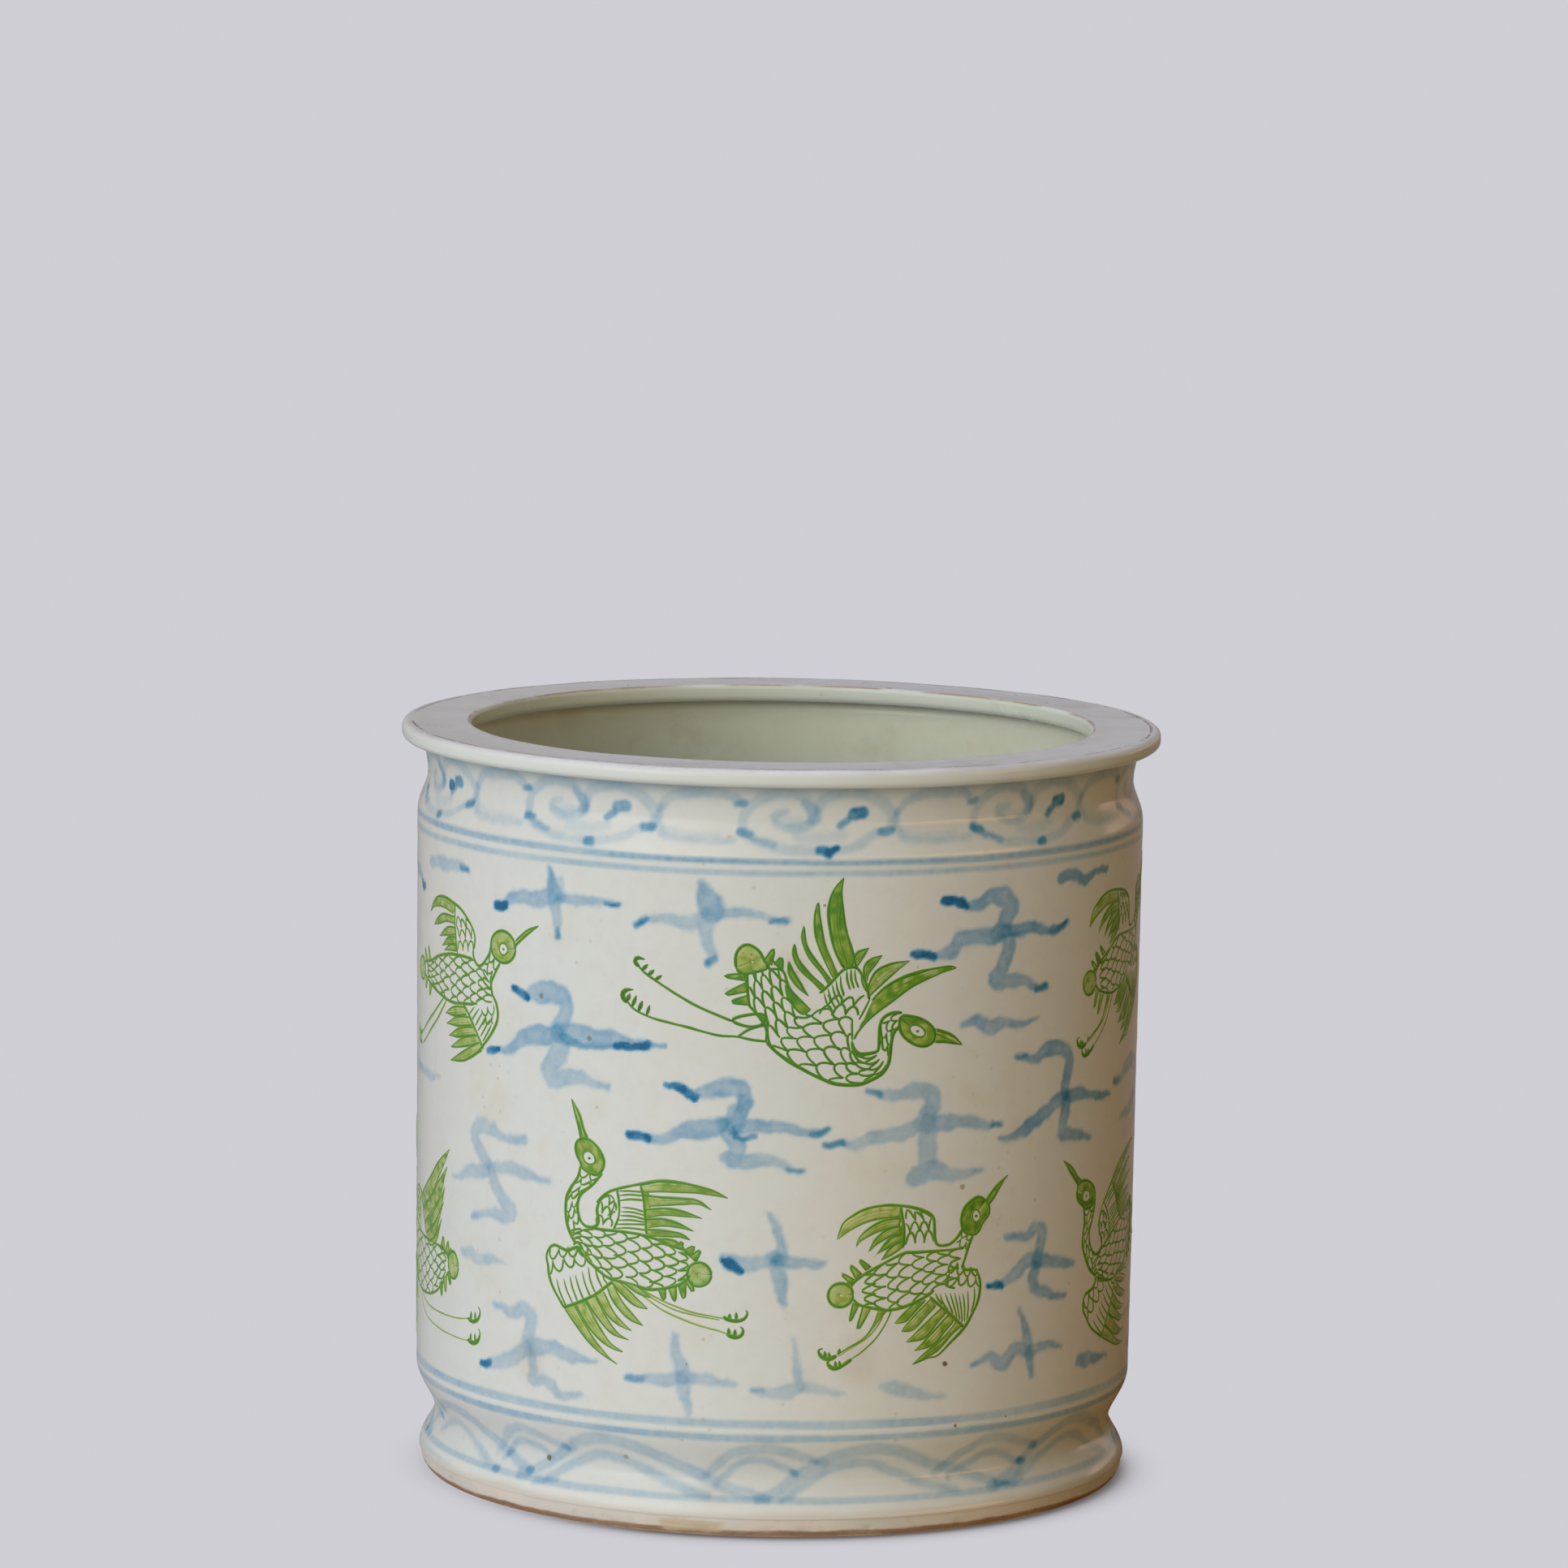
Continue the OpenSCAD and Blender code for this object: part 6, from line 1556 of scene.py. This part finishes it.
def make_rim():
    M = Mat("rim_glaze")
    r = M.radius()
    c, speck = glaze_base(M, (.630, .640, .730, 1), .4)
    # lilac-grey top, thin and smudged with brown where it is worn
    up = M.ramp(M.z, .1868, .1881)
    side = M.math('SUBTRACT', 1.0, up)
    smudge = M.noise(34, 5, .62, .6)
    c = M.mix(M.math('MULTIPLY', M.ramp(smudge, .46, .68), M.math('MULTIPLY', up, .45)), c, (.45, .435, .46, 1))
    c = M.mix(M.math('MULTIPLY', M.ramp(M.noise(80, 4, .65), .55, .74), M.math('MULTIPLY', up, .25)), c, (.32, .27, .24, 1))
    c = M.mix(M.math('MULTIPLY', M.ramp(M.noise(20, 3), .5, .7), M.math('MULTIPLY', up, .35)), c, (.57, .57, .64, 1))
    # pale green-white where the glaze gathers on the rounded edge
    outer = M.math('MULTIPLY', side, M.ramp(r, .090, .0925))
    c = M.mix(M.math('MULTIPLY', outer, .95), c, (.605, .640, .615, 1))
    # broken brown line just inside the outer edge, and a thin one on the inner edge
    wander = M.math('MULTIPLY', M.math('SUBTRACT', M.noise(26, 2), .5), .0016)
    rr = M.math('ADD', r, wander)
    line = M.math('MULTIPLY', M.band(rr, .0918, .0922, .0924, .0929), up)
    brk = M.ramp(M.noise(70, 4, .7), .42, .56)
    c = M.mix(M.math('MULTIPLY', M.math('MULTIPLY', line, brk), .85), c, (.13, .075, .035, 1))
    iw = M.math('ADD', r, M.math('MULTIPLY', M.math('SUBTRACT', M.noise(60, 3), .5), .0008))
    inner = M.math('MULTIPLY', M.band(iw, .0776, .0778, .0782, .0787), M.ramp(M.z, .1872, .1879))
    c = M.mix(M.math('MULTIPLY', M.math('MULTIPLY', inner, M.ramp(M.noise(48, 3), .36, .55)), .8), c, (.27, .13, .05, 1))
    # celadon on the inner edge and under the lip
    lip = M.math('MULTIPLY', M.ramp(r, .0782, .0776), 1.0)
    c = M.mix(M.math('MULTIPLY', lip, .85), c, (.53, .575, .50, 1))
    # olive spot on the lip
    for s, rad, size in ((28.5, .0796, .9), (-40, .0835, .35), (60, .0885, .4)):
        a = s / 80
        v = M.add("ShaderNodeVectorMath", operation='DISTANCE')
        M.link(M.obj, v.inputs[0])
        v.inputs[1].default_value = (rad * math.sin(a * 1.0), rad * math.cos(a), .1884)
        k = M.math('ADD', v.outputs["Value"], M.math('MULTIPLY', M.math('SUBTRACT', M.noise(700, 2), .5), .0007))
        c = M.mix(M.ramp(k, size * .0007, size * .0013, .85, 0), c, (.10, .10, .025, 1))
    rough = M.math('ADD', M.ramp(smudge, .4, .75, .16, .34, False), M.math('MULTIPLY', outer, -.07))
    return M.done(c, rough, M.bump(speck, .00012, .5, glaze_normal(M, 1.3)), **{"IOR": 1.48})


def make_inside():
    M = Mat("inside_glaze")
    c, speck = glaze_base(M, (.60, .625, .52, 1), 1.0)
    c = M.mix(M.math('MULTIPLY', M.ramp(M.noise(14, 3, .6, .5), .45, .7), .4), c, (.52, .51, .37, 1))
    c = M.mix(M.math('MULTIPLY', M.ramp(M.noise(60, 4, .6), .56, .76), .3), c, (.42, .35, .22, 1))
    c = M.mix(M.math('MULTIPLY', M.ramp(M.z, .012, .035, 1, 0), .4), c, (.36, .38, .30, 1))
    return M.done(c, M.ramp(M.noise(90, 3), .3, .8, .14, .28, False), M.bump(speck, .00015, .5, glaze_normal(M, 1.6)), **{"IOR": 1.48})


def make_foot():
    M = Mat("bare_foot")
    e = M.math('ADD', M.z, M.math('MULTIPLY', M.math('SUBTRACT', M.noise(70, 4, .6), .5), .0016))
    grain = M.noise(700, 3, .7)
    clay = M.mix(M.ramp(M.noise(60, 4, .6), .35, .7), (.40, .25, .15, 1), (.56, .42, .30, 1))
    clay = M.mix(M.ramp(grain, .35, .75, 0, .35), clay, (.26, .15, .085, 1))
    cream = M.mix(M.ramp(M.noise(40, 4, .6, .3), .4, .7), (.56, .53, .49, 1), (.62, .55, .50, 1))
    cream = M.mix(M.ramp(M.noise(240, 3, .6), .56, .8, 0, .4), cream, (.47, .36, .27, 1))
    c = M.mix(M.ramp(e, .0014, .0022), clay, cream)
    # dark line where the body meets what it stands on
    c = M.mix(M.math('MULTIPLY', M.band(e, .0002, .0006, .0013, .0020), .6), c, (.17, .09, .05, 1))
    # one tan patch at the front, where the cream wash missed
    ang = M.math('ARCTAN2', M.x, M.math('MULTIPLY', M.y, -1.0))
    aw = M.math('ADD', ang, M.math('MULTIPLY', M.math('SUBTRACT', M.noise(160, 3), .5), .05))
    pz = M.math('ADD', M.z, M.math('MULTIPLY', M.math('SUBTRACT', M.noise(220, 3), .5), .0022))
    patch = M.math('MULTIPLY', M.band(aw, -.325, -.30, -.15, -.125), M.band(pz, .0008, .0014, .0036, .0044))
    c = M.mix(M.math('MULTIPLY', patch, .75), c, (.50, .385, .26, 1))
    more = M.math('MULTIPLY', M.ramp(M.noise(24, 3), .58, .68), M.band(pz, .0008, .0016, .003, .0042))
    c = M.mix(M.math('MULTIPLY', more, .45), c, (.50, .39, .28, 1))
    n = M.bump(M.noise(520, 4, .7), .00010, .6)
    n = M.bump(M.noise(120, 3), .00025, .5, n)
    return M.done(c, M.ramp(e, .0012, .003, .78, .42), n, **{"IOR": 1.45})


def make_enamel():
    M = Mat("green_enamel")
    t, g = M.attr("tone"), M.attr("gold")
    w = M.math('ADD', t, M.math('MULTIPLY', M.math('SUBTRACT', M.noise(420, 3, .65), .5), .22), clamp=True)
    r = M.add("ShaderNodeValToRGB")
    r.color_ramp.elements[0].position = 0.0
    r.color_ramp.elements[0].color = (.022, .105, .004, 1)
    r.color_ramp.elements[1].position = 1.0
    r.color_ramp.elements[1].color = (.46, .50, .25, 1)
    for pos, col in ((.16, (.046, .215, .016, 1)), (.34, (.125, .265, .020, 1)), (.52, (.26, .37, .075, 1)), (.72, (.37, .465, .20, 1))):
        el = r.color_ramp.elements.new(pos)
        el.color = col
    M.link(w, r.inputs[0])
    # some birds are yellower, some bluer, and the enamel pools and thins
    c = M.mix(M.ramp(M.noise(16, 2), .4, .65, 0, .35), r.outputs[0], M.mix(1.0, r.outputs[0], (1.25, .95, .6, 1), 'MULTIPLY'))
    c = M.mix(M.ramp(M.noise(120, 3), .5, .8, 0, .3), c, M.mix(1.0, c, (.75, 1.0, 1.15, 1), 'MULTIPLY'))
    # flecks of gold and brown left on some heads and quills
    d, col = M.cells(1250)
    f = M.math('MULTIPLY', M.ramp(d, .18, .42, 1, 0), M.ramp(g, .05, .9, 0, .85))
    s = M.add("ShaderNodeSeparateColor")
    M.link(col, s.inputs[0])
    f = M.math('MULTIPLY', f, M.ramp(s.outputs[0], .35, .5))
    c = M.mix(f, c, M.mix(M.ramp(s.outputs[1], .4, .6), (.42, .33, .12, 1), (.15, .07, .03, 1)))
    n = M.bump(M.noise(900, 3, .6), .00004, .6)
    return M.done(c, M.ramp(M.noise(300, 3), .3, .8, .12, .26, False), n, **{"IOR": 1.52})


def make_body():
    M = Mat("porcelain_body")
    c = M.mix(M.ramp(M.noise(50, 4), .3, .7), (.60, .54, .44, 1), (.68, .62, .53, 1))
    c = M.mix(M.ramp(M.noise(600, 3, .7), .5, .8, 0, .4), c, (.42, .33, .24, 1))
    return M.done(c, .62, M.bump(M.noise(500, 4, .7), .00010, .6))


def make_base():
    M = Mat("bare_base")
    r = M.radius()
    c = M.mix(M.ramp(M.noise(30, 4, .6), .3, .7), (.50, .36, .24, 1), (.62, .49, .36, 1))
    rings = M.math('SINE', M.math('MULTIPLY', M.math('ADD', r, M.math('MULTIPLY', M.noise(20, 2), .004)), 1400.0))
    c = M.mix(M.ramp(rings, -.2, 1, 0, .14), c, (.36, .25, .16, 1))
    c = M.mix(M.ramp(M.noise(300, 3, .7), .55, .8, 0, .5), c, (.24, .13, .07, 1))
    n = M.bump(rings, .00012, .5)
    return M.done(c, .8, M.bump(M.noise(600, 4, .7), .00012, .7, n))


white, rimm, insm, footm, enam, bodym, basem = make_white(), make_rim(), make_inside(), make_foot(), make_enamel(), make_body(), make_base()


def dress(ob, m):
    ob.data.materials.clear()
    ob.data.materials.append(m)


for o in (wall_foot, wall_main, wall_neck):
    dress(o, white)
dress(rim, rimm)
dress(inside, insm)
dress(foot, footm)
for o in birds:
    dress(o, enam)
for o in bpy.data.objects:
    if o.type == 'MESH' and o.name in ("body_wall", "base_slab"):
        dress(o, bodym if o.name == "body_wall" else basem)

# ---------------------------------------------------------------- floor, light, camera
BACK = srgb(207, 206, 213)


def fill_ramp(node, stops):
    """stops: azimuth in degrees from the front, growing towards +X, and a colour."""
    el = node.color_ramp.elements
    while len(el) > 1:
        el.remove(el[0])
    el[0].position, el[0].color = (stops[0][0] + 180) / 360, stops[0][1] + (1,)
    for a, c in stops[1:]:
        e = el.new((a + 180) / 360)
        e.color = c + (1,)


def make_floor():
    N = 48
    rad = [0.0] + list(np.geomspace(.05, 40, 40))
    V, F = [(0, 0, 0)], []
    for r in rad[1:]:
        V += [(r * math.cos(2 * math.pi * i / N), r * math.sin(2 * math.pi * i / N), 0) for i in range(N)]
    for i in range(N):
        F.append((0, 1 + i, 1 + (i + 1) % N))
    for k in range(len(rad) - 2):
        a, b = 1 + k * N, 1 + (k + 1) * N
        for i in range(N):
            F.append((a + i, b + i, b + (i + 1) % N, a + (i + 1) % N))
    ob = new_object("floor", np.array(V), F)
    M = Mat("floor_paper")
    ao = M.add("ShaderNodeAmbientOcclusion")
    ao.samples = 12
    ao.inputs["Distance"].default_value = .013
    ang = M.math('MULTIPLY_ADD', M.math('ARCTAN2', M.x, M.math('MULTIPLY', M.y, -1.0)), .5 / math.pi, .5)
    # painted contact shadow: ambient occlusion darkens the floor's emitted colour; the lit side, front left, keeps only
    # a trace of it
    shade = M.math('MULTIPLY', M.ramp(ao.outputs["AO"], .30, .97, 1, 0), M.math('MINIMUM', M.ramp(ang, .33, .47, .22, 1), M.ramp(ang, .80, .97, 1, .22)))
    seen = M.mix(shade, BACK, (.13, .115, .11, 1))
    # for every ray but the camera's the floor glows in the colours of FLOOR_GLOW, a painted light from below, warm
    # brown on the right
    r = M.add("ShaderNodeValToRGB")
    fill_ramp(r, FLOOR_GLOW)
    M.link(ang, r.inputs[0])
    lp = M.add("ShaderNodeLightPath")
    c = M.mix(lp.outputs["Is Camera Ray"], r.outputs[0], seen)
    M.done((.05, .05, .05, 1), .9, None, **{"IOR": 1.2})
    M.put(M.p.inputs["Base Color"], M.mix(M.noise(3, 3), (.002, .002, .002, 1), (.003, .003, .003, 1)))
    M.link(c, M.p.inputs["Emission Color"])
    M.p.inputs["Emission Strength"].default_value = 1.0
    M.p.inputs["Specular IOR Level"].default_value = 0.0
    dress(ob, M.m)
    return ob


FLOOR_GLOW = [(-180, (.26, .25, .25)), (-120, (.34, .34, .34)), (-60, (.42, .42, .42)), (-15, (.46, .455, .44)), (15, (.42, .39, .31)), (35, (.32, .23, .12)),
              (58, (.14, .075, .025)), (125, (.11, .06, .022)), (160, (.24, .20, .18)), (180, (.26, .25, .25))]
make_floor()


def make_world():
    w = bpy.data.worlds.new("studio")
    w.use_nodes = True
    nt = w.node_tree
    nt.nodes.clear()

    def add(kind, **kw):
        n = nt.nodes.new(kind)
        for k, v in kw.items():
            setattr(n, k, v)
        return n

    def put(s, v):
        if hasattr(v, "is_linked"):
            nt.links.new(v, s)
        else:
            s.default_value = v

    def mth(op, a, b=0.0, clamp=False):
        n = add("ShaderNodeMath", operation=op, use_clamp=clamp)
        put(n.inputs[0], a)
        put(n.inputs[1], b)
        return n.outputs[0]

    def rng(v, lo, hi, a, b):
        n = add("ShaderNodeMapRange", interpolation_type='SMOOTHSTEP')
        put(n.inputs["Value"], v)
        for k, q in (("From Min", lo), ("From Max", hi), ("To Min", a), ("To Max", b)):
            n.inputs[k].default_value = q
        return n.outputs["Result"]

    def mix(f, a, b, mode='MIX'):
        n = add("ShaderNodeMix", data_type='RGBA', blend_type=mode)
        put(n.inputs["Factor"], f)
        put(n.inputs[6], a)
        put(n.inputs[7], b)
        return n.outputs[2]

    tc = add("ShaderNodeTexCoord")
    sep = add("ShaderNodeSeparateXYZ")
    nt.links.new(tc.outputs["Generated"], sep.inputs[0])
    x, y, z = sep.outputs
    az = mth('MULTIPLY', mth('ARCTAN2', x, mth('MULTIPLY', y, -1.0)), 180 / math.pi)
    # azimuth is 0 towards the camera and grows towards +X; height z is the sine of the elevation

    r = add("ShaderNodeValToRGB")
    fill_ramp(r, ROOM)
    nt.links.new(mth('ADD', mth('MULTIPLY', az, 1 / 360), .5), r.inputs[0])
    hi = add("ShaderNodeValToRGB")
    fill_ramp(hi, ROOM_HIGH)
    nt.links.new(mth('ADD', mth('MULTIPLY', az, 1 / 360), .5), hi.inputs[0])
    c = mix(rng(z, .09, .21, 0, 1), r.outputs[0], hi.outputs[0])
    # one broad soft light from the front left
    q = mth('DIVIDE', mth('SUBTRACT', az, KEY_AT), KEY_WIDE)
    lobe = mth('MULTIPLY', mth('POWER', 2.718, mth('MULTIPLY', mth('MULTIPLY', q, q), -1.0)), rng(z, KEY_FALL[0], KEY_FALL[1], 1, .0))
    glossy = add("ShaderNodeLightPath").outputs["Is Glossy Ray"]
    lobe = mth('MULTIPLY', lobe, mth('SUBTRACT', 1.0, mth('MULTIPLY', glossy, .62)))
    k = mix(lobe, (0, 0, 0, 1), (KEY[0], KEY[1], KEY[2], 1))
    c = mix(rng(z, .80, .99, 0, 1), c, TOP)
    c = mix(1.0, c, k, 'ADD')
    lp = add("ShaderNodeLightPath")
    c = mix(lp.outputs["Is Camera Ray"], c, BACK)
    bg = add("ShaderNodeBackground")
    put(bg.inputs["Color"], c)
    out = add("ShaderNodeOutputWorld")
    nt.links.new(bg.outputs[0], out.inputs[0])
    bpy.context.scene.world = w


ROOM = [(-180, (.34, .32, .32)), (-120, (.31, .30, .285)), (-80, (.29, .28, .255)), (-40, (.36, .355, .33)), (0, (.60, .60, .48)),
        (20, (1.1, 1.0, .55)), (36, (1.7, 1.2, .40)), (50, (2.4, 1.4, .34)), (64, (3.0, 1.6, .34)), (78, (2.9, 1.42, .30)), (84, (1.0, .46, .10)), (104, (.05, .027, .010)),
        (123, (.05, .027, .011)), (129, (1.2, .76, .62)), (140, (.60, .40, .32)), (180, (.34, .32, .32))]
# the same circle seen higher up, where the room behind the light is dark
ROOM_HIGH = [(-180, (.34, .33, .32)), (-120, (.30, .29, .275)), (-60, (.32, .31, .295)), (-10, (.37, .375, .34)), (20, (.30, .29, .20)), (50, (.13, .10, .045)),
             (125, (.09, .07, .035)), (150, (.22, .21, .20)), (180, (.34, .33, .32))]
KEY, KEY_AT, KEY_WIDE, KEY_FALL = (4.05, 4.04, 3.96), -42, 29, (.35, .9)
TOP = (1.42, 1.42, 1.46, 1)
make_world()

scene = bpy.context.scene
scene.view_settings.view_transform = 'Standard'
scene.view_settings.look = 'None'
cam_data = bpy.data.cameras.new("camera")
cam = bpy.data.objects.new("camera", cam_data)
scene.collection.objects.link(cam)
cam_data.sensor_width = 36.0
cam_data.lens = 9904.0 / 1932.0 * 36.0
cam_data.shift_x = (966.0 - 962.2) / 1932.0
cam_data.clip_start, cam_data.clip_end = .05, 200.0
cam.matrix_world = (Matrix.Translation((0.0, -1.995, .4365)) @ Matrix.Rotation(math.radians(90 - 7.53), 4, 'X')
                    @ Matrix.Rotation(math.radians(.875), 4, 'Z'))
scene.camera = cam
